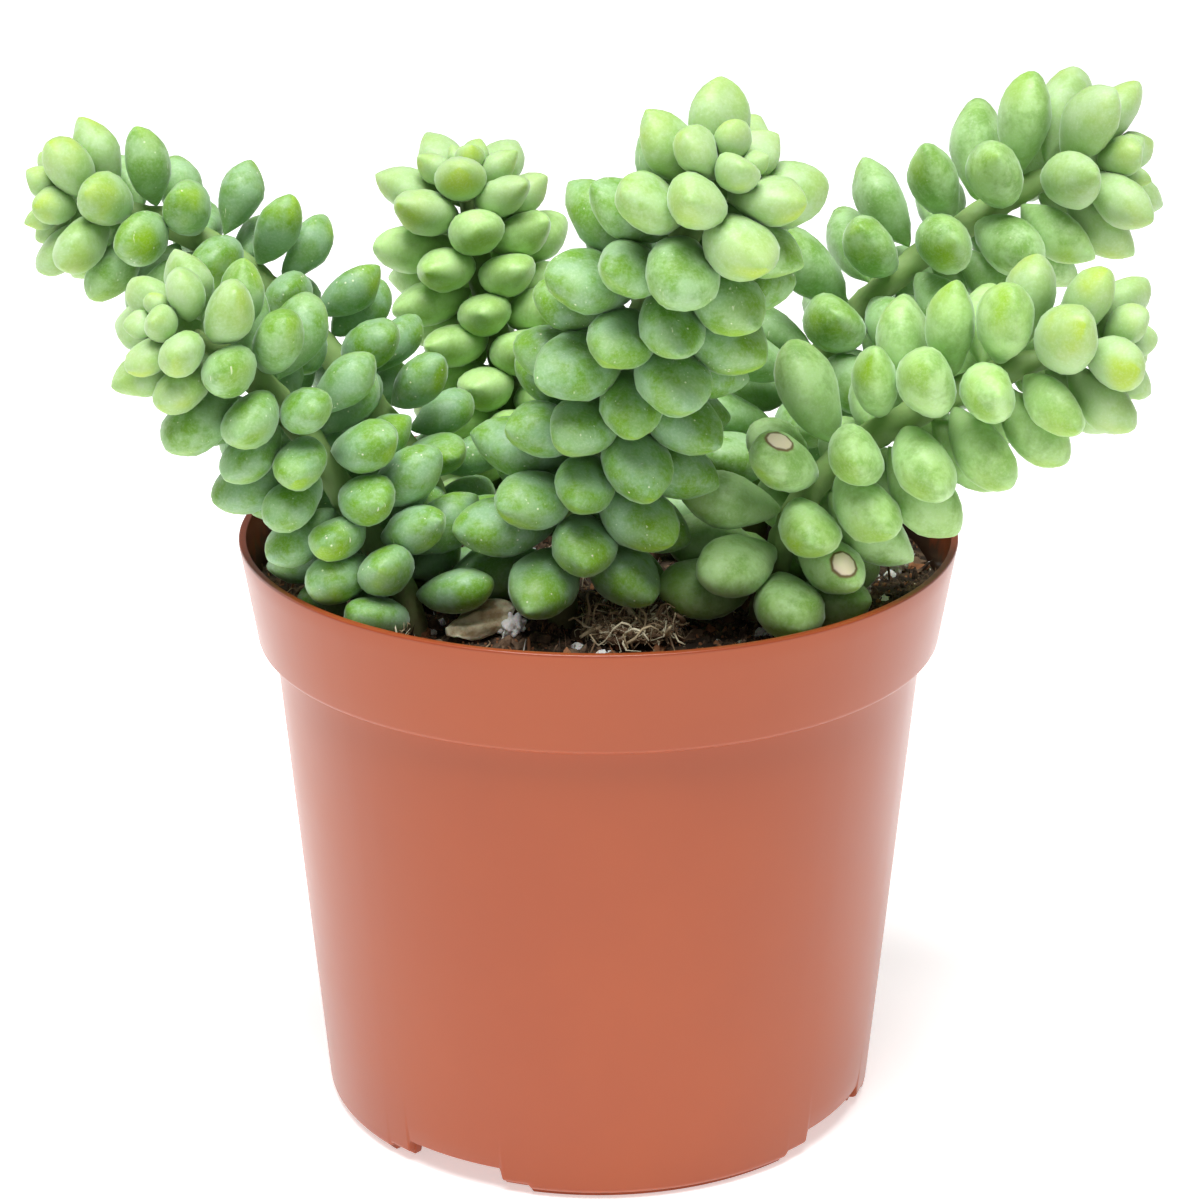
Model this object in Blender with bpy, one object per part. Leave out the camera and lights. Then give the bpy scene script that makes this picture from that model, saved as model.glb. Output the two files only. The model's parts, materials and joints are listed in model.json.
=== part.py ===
"""Burro's tail in a nursery pot: a thin plastic pot, potting mix and six leafy trailing shoots.

Lengths are written in millimetres and turned into metres where a mesh is made. +Z is up, -Y is the
front, and the origin is the middle of the object's footprint, so the pot's own axis is at POT_AXIS.
"""

import math

import bmesh
import bpy
from mathutils import Matrix, Vector, noise
from mathutils.bvhtree import BVHTree

MM = 0.001
GAP = 0.3  # clearance kept between neighbouring pieces
POT_AXIS = Vector((-0.2, 1.5, 0.0))

# Pot: an outside collar on a tapered body that stands on four feet.
RIM_RADIUS = 52.5
POT_HEIGHT = 88.6
WALL = 1.1
LIP_BEVEL = 0.3
LEDGE_FILLET = 0.5
COLLAR_HEIGHT = 15.5
COLLAR_BOTTOM_RADIUS = 50.2
COLLAR_CORNER = 0.9
BODY_TOP_RADIUS = 47.7
FOOT_RADIUS = 41.5
FOOT_FILLET = 1.0
FOOT_WIDTH = 1.8
FLOOR_UNDERSIDE = 4.2
NOTCH_HEIGHT = 3.4
NOTCH_SPAN = math.radians(22.5)
NOTCH_FROM = math.radians(-31)  # bearing of the first notch from the front, towards +X
NOTCHES = 4
DRAINS = 5
DRAIN_RADIUS = 3.5
DRAIN_RING = 25.0
DRAIN_SIDES = 10
POT_SIDES = 40
POT_CUTTER_REACH = (8.0, 4.0)  # how far a foot notch's cutter passes the wall, inwards and outwards

# Potting mix: its surface lies below the rim and is a little uneven.
SOIL_TOP = 81.4
SOIL_SWELL = 1.3
SOIL_LUMP = 17.0
SOIL_SIDES = 24
SOIL_RINGS = (0.3, 0.55, 0.8)
SOIL_CLEARANCE = 0.4
SOIL_UP_COLLAR = 0.35  # how far up the collar's flare the surface meets the wall

# Shoots: a thin woody stem inside a green sheath that carries the leaves.
STEM_RADIUS = 1.3
STEM_SIDES = 6
STEM_SHORT_OF_TIP = 4.0
SHEATH_INNER = STEM_RADIUS + GAP
SHEATH_OUTER = 3.0
SHEATH_FOOT = SOIL_TOP + SOIL_SWELL + 0.8
BUD_RADIUS = 1.3
BUD_GROWTH = 0.5
BUD_SINK = 0.9
STATION = 4.0
ROUTE_STEP = 0.5
CURVE_STEPS = 40
GOLDEN_ANGLE = math.radians(137.508)

# Leaves: plump, narrow at the neck, blunt at the tip, smaller and more upright towards the shoot's tip.
LEAF_SIDES = 5
LEAF_RINGS = (0.36, 0.8)
LEAF_WIDEST = 1.25
LEAF_ROUNDNESS = 0.62
LEAF_THICKNESS = 0.9
LEAF_ROOT = 2.1
TIP_LEAF_ROOT = 0.3
YOUNG_SHAPE = 1.3
YOUNG_WIDTH = 0.25
TIP_CROWDING = 8.0
YOUNG_SIZE = 0.62
YOUNG_SPAN = 5.0
MATURE_LEAN = 66.0
LEAN_LOST_AT_TIP = 56.0
LEAN_SPAN = 5.0
TIP_LEAVES = 13
LEAVES_PER_GROUP = 9
LEAF_MARGIN = 1.1
LEAF_TO_LEAF = 0.05
FITTING_SCALES = (1.0, 0.94, 0.88, 0.82, 0.76, 0.7, 0.64, 0.58)
FITTING_TURNS = (0, 6, -6, 12, -12)

# Each shoot: the points its stem runs through from the roots up, from the pot's axis at floor level,
# the length and width of a grown leaf, the stem used by each leaf, and the first leaf's bearing.
SHOOTS = {
    "front_left": {
        "route": ((-25, -23, 72), (-27, -24, 86), (-30, -22, 91), (-35, -22, 100), (-41, -24, 111),
                  (-48, -26, 120), (-55, -29, 126), (-58, -31, 128)),
        "leaf": (12.5, 8.4), "pitch": 1.2, "bearing": 20,
    },
    "back_left": {
        "route": ((-20, -3, 72), (-23, -2, 90), (-27, 0, 99), (-37, 2, 112), (-46, 4, 122),
                  (-57, 6, 130), (-67, 6, 134), (-77, 5, 135.5)),
        "leaf": (12.0, 7.8), "pitch": 1.35, "bearing": 80,
    },
    "rear": {
        "route": ((-12, 20, 72), (-12, 22, 85), (-13, 26, 95), (-15, 29, 107), (-18, 31, 119),
                  (-20, 31, 130), (-20, 31, 134)),
        "leaf": (11.5, 7.6), "pitch": 1.25, "bearing": 150,
    },
    "centre": {
        "route": ((-6, -20, 72), (-5, -22, 85), (-4, -22, 94), (-1, -24, 105), (3, -27, 117),
                  (7, -33, 132), (13, -40, 145), (17, -44, 152)),
        "leaf": (14.0, 9.2), "pitch": 1.2, "bearing": 0,
    },
    "back_right": {
        "route": ((22, 10, 72), (24, 12, 88), (29, 16, 100), (35, 20, 111), (45, 22, 121),
                  (57, 22, 130), (67, 21, 136), (75.5, 20, 138)),
        "leaf": (15.5, 9.2), "pitch": 1.6, "bearing": 200,
    },
    "front_right": {
        "route": ((22, -18, 72), (24, -20, 86), (27, -22, 97), (33, -23, 106), (44, -25, 114),
                  (55, -27, 120), (64, -28, 123.5), (69, -29, 124.5)),
        "leaf": (14.0, 9.0), "pitch": 1.5, "bearing": 300,
    },
}

# Perlite grains: place from the pot's axis and radius.
PERLITE = ((-12, -27.5, 1.9), (35.5, -17, 2.2), (37.5, -11.5, 1.8),
           (44, 1, 1.7), (3, 40, 1.8), (-40, 18, 1.6))
GRAIN_RISE = 0.4
GRAIN_LUMPS = 0.25

# Leaves that have dropped on the mix: place, the way each points, length and width.
FALLEN_LEAVES = (((-15, 35), 165, 11.0, 7.2), ((13, 4), 190, 11.5, 7.6), ((15, -21.5), 95, 10.0, 8.4))

# A curled dry leaf and a tuft of bark fibre on the mix: place, bearing, and length, width and height.
HUSK = ((-19.5, -29.0), 20, (10.0, 5.5, 0.7))
FIBRES = ((4.5, -27.5), 10, (12.0, 8.0, 3.2))
MOUND_RINGS = ((1.0, 0.0), (0.95, 0.5), (0.5, 1.0))  # share of the outline and of the height
MOUND_SIDES = 10

COLOURS = {
    "pot": ((0.545, 0.170, 0.085), 0.42),
    "soil": ((0.016, 0.009, 0.005), 0.95),
    "stem": ((0.230, 0.250, 0.090), 0.7),
    "leaf": ((0.270, 0.480, 0.190), 0.5),
    "young_leaf": ((0.420, 0.620, 0.200), 0.45),
    "perlite": ((0.830, 0.820, 0.790), 0.9),
    "husk": ((0.520, 0.420, 0.260), 0.85),
}


def clear_scene():
    for old in list(bpy.data.objects):
        bpy.data.objects.remove(old)


def material(name):
    if name in bpy.data.materials:
        return bpy.data.materials[name]
    colour, roughness = COLOURS[name]
    made = bpy.data.materials.new(name)
    made.use_nodes = True
    shader = made.node_tree.nodes["Principled BSDF"]
    shader.inputs["Base Color"].default_value = (*colour, 1.0)
    shader.inputs["Roughness"].default_value = roughness
    shader.inputs["Metallic"].default_value = 0.0
    return made


def add_object(name, points, faces, finish):
    """A smooth-shaded object from points in millimetres measured from the pot's axis."""
    mesh = bpy.data.meshes.new(name)
    mesh.from_pydata([(Vector(p) + POT_AXIS) * MM for p in points], [], faces)
    mesh.shade_smooth()
    mesh.set_sharp_from_angle(angle=math.radians(40))
    mesh.materials.append(material(finish))
    made = bpy.data.objects.new(name, mesh)
    bpy.context.collection.objects.link(made)
    return made


def hide(helper):
    helper.hide_render = True
    helper.display_type = "WIRE"


def boolean(target, operation, helper):
    hide(helper)
    modifier = target.modifiers.new(operation.lower(), "BOOLEAN")
    modifier.operation = operation
    modifier.solver = "EXACT"
    modifier.object = helper


def joined(parts):
    """One list of points and one of faces from several such pairs."""
    points, faces = [], []
    for part_points, part_faces in parts:
        start = len(points)
        points.extend(part_points)
        faces.extend(tuple(start + corner for corner in face) for face in part_faces)
    return points, faces


def stacked_rings(rings, closed=False):
    """A skin over rings of equal count, each turning the same way round; capped, or joined end to start."""
    sides = len(rings[0])
    points = [point for ring in rings for point in ring]
    spans = len(rings) if closed else len(rings) - 1
    faces = []
    for span in range(spans):
        low, high = span * sides, (span + 1) % len(rings) * sides
        for side in range(sides):
            after = (side + 1) % sides
            faces.append((low + side, low + after, high + after, high + side))
    if not closed:
        faces.append(tuple(reversed(range(sides))))
        faces.append(tuple(range((len(rings) - 1) * sides, len(rings) * sides)))
    return points, faces


def level_ring(radius, height, sides, centre=(0.0, 0.0)):
    turns = (2 * math.pi * side / sides for side in range(sides))
    return [Vector((centre[0] + radius * math.cos(turn), centre[1] + radius * math.sin(turn), height))
            for turn in turns]


def arc(centre, radius, start, stop, steps):
    angles = (math.radians(start + (stop - start) * step / steps) for step in range(steps + 1))
    return [(centre[0] + radius * math.cos(a), centre[1] + radius * math.sin(a)) for a in angles]


def collar_foot():
    return POT_HEIGHT - COLLAR_HEIGHT


def pot_outline():
    """(radius, height) up the outside, over the lip and down the inside of the pot."""
    ledge = BODY_TOP_RADIUS + LEDGE_FILLET
    foot_inside = FOOT_RADIUS - FOOT_FILLET - FOOT_WIDTH
    outside = [(foot_inside, 0.0)]
    outside += arc((FOOT_RADIUS - FOOT_FILLET, FOOT_FILLET), FOOT_FILLET, -90, 0, 3)
    outside += [(BODY_TOP_RADIUS, collar_foot() - LIP_BEVEL), (ledge, collar_foot())]
    corner = (COLLAR_BOTTOM_RADIUS - COLLAR_CORNER, collar_foot() + COLLAR_CORNER)
    outside += arc(corner, COLLAR_CORNER, -90, 0, 2)
    outside += [(RIM_RADIUS, POT_HEIGHT - LIP_BEVEL), (RIM_RADIUS - LIP_BEVEL, POT_HEIGHT)]
    inside = [(RIM_RADIUS - WALL, POT_HEIGHT), (COLLAR_BOTTOM_RADIUS - WALL, collar_foot() + WALL)]
    inside += [(BODY_TOP_RADIUS - WALL, collar_foot() - WALL), (FOOT_RADIUS - WALL, FLOOR_UNDERSIDE + WALL)]
    return outside + inside


def notch_wedge(bearing):
    """The block that a foot notch takes out of the wall."""
    inner, outer = FOOT_RADIUS - POT_CUTTER_REACH[0], FOOT_RADIUS + POT_CUTTER_REACH[1]
    first, last = bearing - NOTCH_SPAN / 2, bearing + NOTCH_SPAN / 2
    corners = ((inner, first), (outer, first), (outer, last), (inner, last))
    return stacked_rings([[Vector((radius * math.cos(turn), radius * math.sin(turn), height))
                           for radius, turn in corners] for height in (-NOTCH_HEIGHT, NOTCH_HEIGHT)])


def drain_plug(turn):
    centre = (DRAIN_RING * math.cos(turn), DRAIN_RING * math.sin(turn))
    heights = (FLOOR_UNDERSIDE - WALL, FLOOR_UNDERSIDE + 2 * WALL)
    return stacked_rings([level_ring(DRAIN_RADIUS, height, DRAIN_SIDES, centre) for height in heights])


def make_pot():
    """A turned shell with a raised floor, notched between its feet and pierced by drain holes."""
    outline = pot_outline()
    underside = (outline[0][0] - LEDGE_FILLET, FLOOR_UNDERSIDE)
    rings = [level_ring(radius, height, POT_SIDES) for radius, height in (underside, *outline)]
    pot = add_object("pot", *stacked_rings(rings), "pot")
    front = -math.pi / 2
    cuts = [notch_wedge(front + NOTCH_FROM + 2 * math.pi * notch / NOTCHES) for notch in range(NOTCHES)]
    cuts += [drain_plug(2 * math.pi * drain / DRAINS) for drain in range(DRAINS)]
    boolean(pot, "DIFFERENCE", add_object("pot_cutter", *joined(cuts), "pot"))
    return pot


def soil_height(x, y):
    """Height of the uneven surface at a place measured from the pot's axis."""
    return SOIL_TOP + SOIL_SWELL * noise.noise(Vector((x, y, 0.0)) / SOIL_LUMP)


def make_soil(pockets):
    """The potting mix, up to GAP inside the pot, with pockets for what is set into it."""
    inset = WALL + SOIL_CLEARANCE
    side = [(FOOT_RADIUS - inset, FLOOR_UNDERSIDE + WALL + GAP),
            (BODY_TOP_RADIUS - inset, collar_foot() - WALL),
            (COLLAR_BOTTOM_RADIUS - inset, collar_foot() + inset)]
    edge = COLLAR_BOTTOM_RADIUS + (RIM_RADIUS - COLLAR_BOTTOM_RADIUS) * SOIL_UP_COLLAR - inset
    rings = [level_ring(radius, height, SOIL_SIDES) for radius, height in side]
    for share in (1.0, *reversed(SOIL_RINGS)):
        flat = level_ring(edge * share, 0.0, SOIL_SIDES)
        rings.append([Vector((p.x, p.y, soil_height(p.x, p.y))) for p in flat])
    soil = add_object("potting_mix", *stacked_rings(rings), "soil")
    boolean(soil, "DIFFERENCE", add_object("soil_cutter", *joined(pockets), "soil"))
    return soil


def smooth_route(points):
    """Points ROUTE_STEP apart on a Catmull-Rom curve through the given ones."""
    knots = [Vector(p) for p in points]
    knots = [2 * knots[0] - knots[1], *knots, 2 * knots[-1] - knots[-2]]
    fine = []
    for before, start, stop, after in zip(knots, knots[1:], knots[2:], knots[3:]):
        for step in range(CURVE_STEPS):
            t = step / CURVE_STEPS
            fine.append(0.5 * (2 * start + (stop - before) * t
                               + (2 * before - 5 * start + 4 * stop - after) * t * t
                               + (3 * start - before - 3 * stop + after) * t ** 3))
    fine.append(knots[-2])
    even, walked = [fine[0]], 0.0
    for a, b in zip(fine, fine[1:]):
        walked += (b - a).length
        if walked >= ROUTE_STEP:
            even.append(b)
            walked -= ROUTE_STEP
    return even


def frames_along(points):
    """(place, along, side, other) at each point, with the cross directions carried on without twist."""
    side = Vector((1, 0, 0))
    frames = []
    for index, place in enumerate(points):
        along = (points[min(index + 1, len(points) - 1)] - points[max(index - 1, 0)]).normalized()
        side = (side - along * side.dot(along)).normalized()
        frames.append((place, along, side, along.cross(side)))
    return frames


def frame_at(frames, distance):
    last = len(frames) - 1
    return frames[min(last, max(0, round(distance / ROUTE_STEP)))]


def stem_ring(frame, radius):
    place, _, side, other = frame
    turns = (2 * math.pi * step / STEM_SIDES for step in range(STEM_SIDES))
    return [place + radius * (math.cos(turn) * side + math.sin(turn) * other) for turn in turns]


def stations(start, stop):
    count = max(1, round((stop - start) / STATION))
    return [start + (stop - start) * step / count for step in range(count + 1)]


def stem_tube(frames, start, stop, radius):
    return stacked_rings([stem_ring(frame_at(frames, s), radius) for s in stations(start, stop)])


def sheath_tube(frames, start, stop):
    """An open green sleeve round the stem."""
    along = stations(start, stop)
    outer = [stem_ring(frame_at(frames, s), SHEATH_OUTER) for s in along]
    inner = [stem_ring(frame_at(frames, s), SHEATH_INNER) for s in reversed(along)]
    return stacked_rings(outer + inner, closed=True)


def bud_cap(frames, start, length):
    """The closed end of the sleeve, which narrows to the growing tip."""
    stem_end = length - STEM_SHORT_OF_TIP + GAP
    outer = [stem_ring(frame_at(frames, s), min(SHEATH_OUTER, BUD_RADIUS + BUD_GROWTH * (length - s)))
             for s in stations(start, length)]
    inner = [stem_ring(frame_at(frames, s), SHEATH_INNER) for s in reversed(stations(start, stem_end))]
    return stacked_rings(inner + outer)


def leaf_swell(share):
    """Half-width of a leaf at a share of its length, as a share of its greatest half-width."""
    return math.sin(math.pi * share ** LEAF_WIDEST) ** LEAF_ROUNDNESS


def leaf_shape(place, pointing, width_way, length, width):
    """A closed leaf from its neck at place to its tip, a little flatter than it is wide."""
    thick_way = pointing.cross(width_way)
    points = [place]
    for share in LEAF_RINGS:
        half = width / 2 * leaf_swell(share)
        for side in range(LEAF_SIDES):
            turn = 2 * math.pi * side / LEAF_SIDES
            points.append(place + pointing * length * share + width_way * half * math.cos(turn)
                          + thick_way * half * LEAF_THICKNESS * math.sin(turn))
    points.append(place + pointing * length)
    tip = len(points) - 1
    top = tip - LEAF_SIDES
    faces = []
    for side in range(LEAF_SIDES):
        after = (side + 1) % LEAF_SIDES
        faces.append((0, 1 + after, 1 + side))
        faces.append((1 + side, 1 + after, top + after, top + side))
        faces.append((top + side, top + after, tip))
    return points, faces


def leaf_plan(shoot, length):
    """For each leaf from the tip back: distance along the stem, bearing, lean, length and width."""
    grown_length, grown_width = shoot["leaf"]
    plan = []
    index = 0
    while True:
        back = shoot["pitch"] * index ** 2 / (index + TIP_CROWDING)
        if back > length:
            return plan
        size = 1 - YOUNG_SIZE * math.exp(-(index / YOUNG_SPAN) ** YOUNG_SHAPE)
        lean = MATURE_LEAN - LEAN_LOST_AT_TIP * math.exp(-index / LEAN_SPAN)
        plan.append({
            "at": length - back,
            "bearing": math.radians(shoot["bearing"]) + index * GOLDEN_ANGLE,
            "lean": math.radians(lean),
            "length": grown_length * size,
            "width": grown_width * (YOUNG_WIDTH + (1 - YOUNG_WIDTH) * size),
        })
        index += 1


def leaf_on_stem(frames, leaf, anchor, scale=1.0, turned=0.0):
    place, along, side, other = frame_at(frames, anchor)
    bearing = leaf["bearing"] + turned
    outward = math.cos(bearing) * side + math.sin(bearing) * other
    pointing = (math.cos(leaf["lean"]) * along + math.sin(leaf["lean"]) * outward).normalized()
    left = (len(frames) - 1) * ROUTE_STEP - anchor
    root = min(LEAF_ROOT, TIP_LEAF_ROOT + BUD_GROWTH * left)
    width_way = along.cross(outward).normalized()
    length, width = leaf["length"] * scale, leaf["width"] * scale
    return leaf_shape(place + outward * root, pointing, width_way, length, width)


def grown(points, by):
    """The same points moved out from their middle by a clearance."""
    middle = sum(points, Vector()) / len(points)
    return [p + (p - middle).normalized() * by for p in points]


def tree_of(points, faces):
    return BVHTree.FromPolygons([tuple(p) for p in points], faces, epsilon=0.0)


def fits(points, faces, obstacles, neighbours):
    """Whether a leaf stays GAP clear of other pieces and just clear of its neighbours on the same sheath."""
    if any(p.z < soil_height(p.x, p.y) + GAP for p in points):
        return False
    for others, clearance in ((neighbours, LEAF_TO_LEAF), (obstacles, GAP)):
        tree = tree_of(grown(points, clearance), faces)
        if any(tree.overlap(other) for other in others):
            return False
    return True


def fitted_leaf(frames, leaf, low, high, obstacles, neighbours):
    """The largest version of the leaf, nudged round the stem if need be, that touches no other piece."""
    anchor = min(max(leaf["at"], low + LEAF_MARGIN), high - LEAF_MARGIN)
    for scale in FITTING_SCALES:
        for turned in FITTING_TURNS:
            points, faces = leaf_on_stem(frames, leaf, anchor, scale, math.radians(turned))
            if fits(points, faces, obstacles, neighbours):
                return points, faces
    return None


def groups_of(plan, start):
    """The leaves in bands from the tip back, each with the stretch of stem that it covers."""
    plan = [leaf for leaf in plan if leaf["at"] >= start]
    cuts = list(range(TIP_LEAVES, len(plan) - LEAVES_PER_GROUP // 2, LEAVES_PER_GROUP))
    bands = [plan[a:b] for a, b in zip([0, *cuts], [*cuts, len(plan)])]
    edges = [(plan[cut - 1]["at"] + plan[cut]["at"]) / 2 for cut in cuts]
    return list(zip(bands, [*edges, start], [None, *edges]))


def plan_shoots():
    """Frames, length, foot of the sheath and leaf bands of each shoot."""
    shoots = {}
    for name, shoot in SHOOTS.items():
        frames = frames_along(smooth_route(shoot["route"]))
        length = (len(frames) - 1) * ROUTE_STEP
        start = next(i for i, frame in enumerate(frames) if frame[0].z > SHEATH_FOOT) * ROUTE_STEP
        shoots[name] = (frames, length, start, groups_of(leaf_plan(shoot, length), start))
    return shoots


def make_shoots(shoots, obstacles):
    """Each stem, then every band's sheath, then the leaves that fit between them."""
    bands = []
    for name, (frames, length, start, groups) in shoots.items():
        stem = stem_tube(frames, 0.0, length - STEM_SHORT_OF_TIP, STEM_RADIUS)
        add_object(f"{name}_stem", *stem, "stem")
        for number, (leaves, low, high) in enumerate(groups):
            if high is None:
                sheath = bud_cap(frames, low + GAP / 2, length)
                label, high = f"{name}_tip", length + LEAF_MARGIN - BUD_SINK
            else:
                sheath = sheath_tube(frames, low + GAP / 2, high - GAP / 2)
                label = f"{name}_leaves_{number}"
            bands.append([label, frames, leaves, low, high, sheath])
    sheaths = {band[0]: tree_of(*band[5]) for band in bands}
    for label, frames, leaves, low, high, sheath in reversed(bands):
        others = [tree for owner, tree in sheaths.items() if owner != label]
        band_leaves, neighbours = [], []
        for leaf in reversed(leaves):
            shape = fitted_leaf(frames, leaf, low, high, obstacles + others, neighbours)
            if shape:
                band_leaves.append(shape)
                neighbours.append(tree_of(*shape))
        obstacles += neighbours
        finish = "young_leaf" if label.endswith("_tip") else "leaf"
        body = add_object(label, *sheath, finish)
        leaves_object = add_object(f"{label}_blades", *joined(band_leaves), finish)
        boolean(body, "UNION", leaves_object)


def grain(x, y, radius, seed):
    """A small lumpy stone, sunk a little into the mix."""
    centre = Vector((x, y, soil_height(x, y) + GRAIN_RISE * radius))
    ball = bmesh.new()
    bmesh.ops.create_icosphere(ball, subdivisions=1, radius=radius)
    points = []
    for corner in ball.verts:
        uneven = 1 + GRAIN_LUMPS * noise.noise(corner.co.normalized() * 2 + Vector((seed, 0, 0)))
        points.append(corner.co * uneven + centre)
    faces = [tuple(corner.index for corner in face.verts) for face in ball.faces]
    ball.free()
    return points, faces


def fallen_leaf(place, bearing, length, width):
    """A grown leaf on its side, clear of the mix."""
    pointing = Vector((math.cos(math.radians(bearing)), math.sin(math.radians(bearing)), 0))
    neck = Vector((*place, SOIL_TOP + SOIL_SWELL + GAP + width / 2)) - pointing * length / 2
    return leaf_shape(neck, pointing, pointing.cross(Vector((0, 0, 1))), length, width)


def low_mound(place, bearing, size):
    """A flat-bottomed lump of an oval outline, resting just above the mix."""
    length, width, height = size
    foot = Matrix.Translation((*place, SOIL_TOP + SOIL_SWELL / 2 + GAP))
    sized = Matrix.Diagonal((length, width, height, 1))
    set_down = foot @ Matrix.Rotation(math.radians(bearing), 4, "Z") @ sized
    rings = [level_ring(share / 2, rise, MOUND_SIDES) for share, rise in MOUND_RINGS]
    return stacked_rings([[set_down @ point for point in ring] for ring in rings])


def main():
    clear_scene()
    shoots = plan_shoots()
    pockets = []
    for frames, length, start, groups in shoots.values():
        pockets.append(stem_tube(frames, 0.0, start, STEM_RADIUS + GAP))
    grains = [grain(*grain_row, seed) for seed, grain_row in enumerate(PERLITE)]
    for points, faces in grains:
        pockets.append((grown(points, GAP), faces))
    pot = make_pot()
    make_soil(pockets)
    for number, (points, faces) in enumerate(grains, 1):
        add_object(f"perlite_{number}", points, faces, "perlite")
    litter = {f"fallen_leaf_{n}": (fallen_leaf(*leaf), "leaf") for n, leaf in enumerate(FALLEN_LEAVES, 1)}
    litter["dry_leaf"] = (low_mound(*HUSK), "husk")
    litter["bark_fibres"] = (low_mound(*FIBRES), "husk")
    for name, (shape, finish) in litter.items():
        add_object(name, *shape, finish)
    pot_points = [v.co / MM - POT_AXIS for v in pot.data.vertices]
    pot_faces = [tuple(p.vertices) for p in pot.data.polygons]
    obstacles = [tree_of(pot_points, pot_faces)]
    obstacles += [tree_of(*shape) for shape in [*grains, *(shape for shape, _ in litter.values())]]
    make_shoots(shoots, obstacles)


main()
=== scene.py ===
"""A burro's tail in a terracotta-coloured nursery pot: how it looks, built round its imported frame."""
import json
import math
import random
from types import SimpleNamespace as Leaf

import bpy
import bmesh
import numpy as np
from mathutils import Matrix, Vector, noise

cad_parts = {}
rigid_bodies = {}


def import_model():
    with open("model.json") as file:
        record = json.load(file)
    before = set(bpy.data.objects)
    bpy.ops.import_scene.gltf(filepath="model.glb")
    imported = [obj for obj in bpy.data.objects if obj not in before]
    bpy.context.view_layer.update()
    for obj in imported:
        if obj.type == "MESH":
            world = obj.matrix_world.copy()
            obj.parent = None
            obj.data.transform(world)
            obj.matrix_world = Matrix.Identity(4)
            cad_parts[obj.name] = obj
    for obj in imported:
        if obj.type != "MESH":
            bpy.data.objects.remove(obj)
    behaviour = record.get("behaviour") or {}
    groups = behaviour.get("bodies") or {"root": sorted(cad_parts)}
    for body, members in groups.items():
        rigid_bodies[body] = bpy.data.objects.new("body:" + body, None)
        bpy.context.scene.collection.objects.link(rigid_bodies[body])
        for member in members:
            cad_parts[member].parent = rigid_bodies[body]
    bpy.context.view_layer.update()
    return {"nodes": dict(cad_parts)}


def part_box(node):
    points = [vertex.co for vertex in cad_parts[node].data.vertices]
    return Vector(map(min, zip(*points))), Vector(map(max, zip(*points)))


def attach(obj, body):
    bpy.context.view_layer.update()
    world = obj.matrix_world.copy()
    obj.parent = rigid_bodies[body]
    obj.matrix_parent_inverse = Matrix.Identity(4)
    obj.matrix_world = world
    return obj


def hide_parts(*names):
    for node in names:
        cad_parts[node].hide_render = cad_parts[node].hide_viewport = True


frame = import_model()

scene = bpy.context.scene
scene.view_settings.view_transform = "Standard"
MM = 0.001


# The camera: a long lens that looks down on the pot from the front, from above the shoots' tips. It
# stands half a metre away and is aimed at the pot's axis, a centimetre below the rim.
POT_LOW, POT_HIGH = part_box("pot")
POT_AXIS = Vector(((POT_LOW.x + POT_HIGH.x) / 2, (POT_LOW.y + POT_HIGH.y) / 2, 0.0))
AIM_HEIGHT = 77.0 * MM
CAMERA_DISTANCE = 505.7 * MM
CAMERA_RISE = math.radians(20.34)
CAMERA_LENS = 102.72
CAMERA_SHIFT = 0.00125

lens = bpy.data.cameras.new("camera")
lens.lens = CAMERA_LENS
lens.sensor_width = 36.0
lens.shift_x = CAMERA_SHIFT
lens.clip_start = 0.01
camera = bpy.data.objects.new("camera", lens)
aim = POT_AXIS + Vector((0, 0, AIM_HEIGHT))
back = Vector((0, -math.cos(CAMERA_RISE), math.sin(CAMERA_RISE)))
camera.location = aim + back * CAMERA_DISTANCE
camera.rotation_euler = back.to_track_quat("Z", "Y").to_euler()
scene.collection.objects.link(camera)
scene.camera = camera


# The studio: a glowing white floor under a dim white sky, a broad light overhead, and white panels
# behind on both sides whose reflections run down the pot's flanks.
FLOOR_REACH = 6.0
FLOOR_GLOW = 0.50
SKY_STRENGTH = 0.22
SOFT_BOXES = (
    ("overhead", (-0.03, -0.25, 0.97), 0.6, 0.6, 13.2),
    ("left_panel", (-0.85, 0.70, 0.34), 0.6, 1.0, 3.3),
    ("right_panel", (0.79, 0.76, 0.34), 0.45, 1.0, 0.7),
)

sky = bpy.data.worlds.new("studio_sky")
sky.use_nodes = True
sky.node_tree.nodes["Background"].inputs["Color"].default_value = (1, 1, 1, 1)
sky.node_tree.nodes["Background"].inputs["Strength"].default_value = SKY_STRENGTH
scene.world = sky
for name, place, width, height, power in SOFT_BOXES:
    light = bpy.data.lights.new(name, "AREA")
    light.shape, light.size, light.size_y, light.energy = "RECTANGLE", width, height, power
    lamp = bpy.data.objects.new(name, light)
    lamp.location = place
    lamp.rotation_euler = (Vector(place) - aim).to_track_quat("Z", "Y").to_euler()
    scene.collection.objects.link(lamp)

floor_mesh = bpy.data.meshes.new("studio_floor")
floor_corners = [(x * FLOOR_REACH, y * FLOOR_REACH, 0.0) for x, y in ((-1, -1), (1, -1), (1, 1), (-1, 1))]
floor_mesh.from_pydata(floor_corners, [], [(0, 1, 2, 3)])
floor = bpy.data.objects.new("studio_floor", floor_mesh)
scene.collection.objects.link(floor)
floor_paint = bpy.data.materials.new("floor_paint")
floor_paint.use_nodes = True
paint = floor_paint.node_tree.nodes["Principled BSDF"].inputs
paint["Base Color"].default_value = (0.93, 0.93, 0.93, 1)
paint["Roughness"].default_value = 0.9
paint["Emission Color"].default_value = (1, 1, 1, 1)
paint["Emission Strength"].default_value = FLOOR_GLOW
floor_mesh.materials.append(floor_paint)


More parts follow.
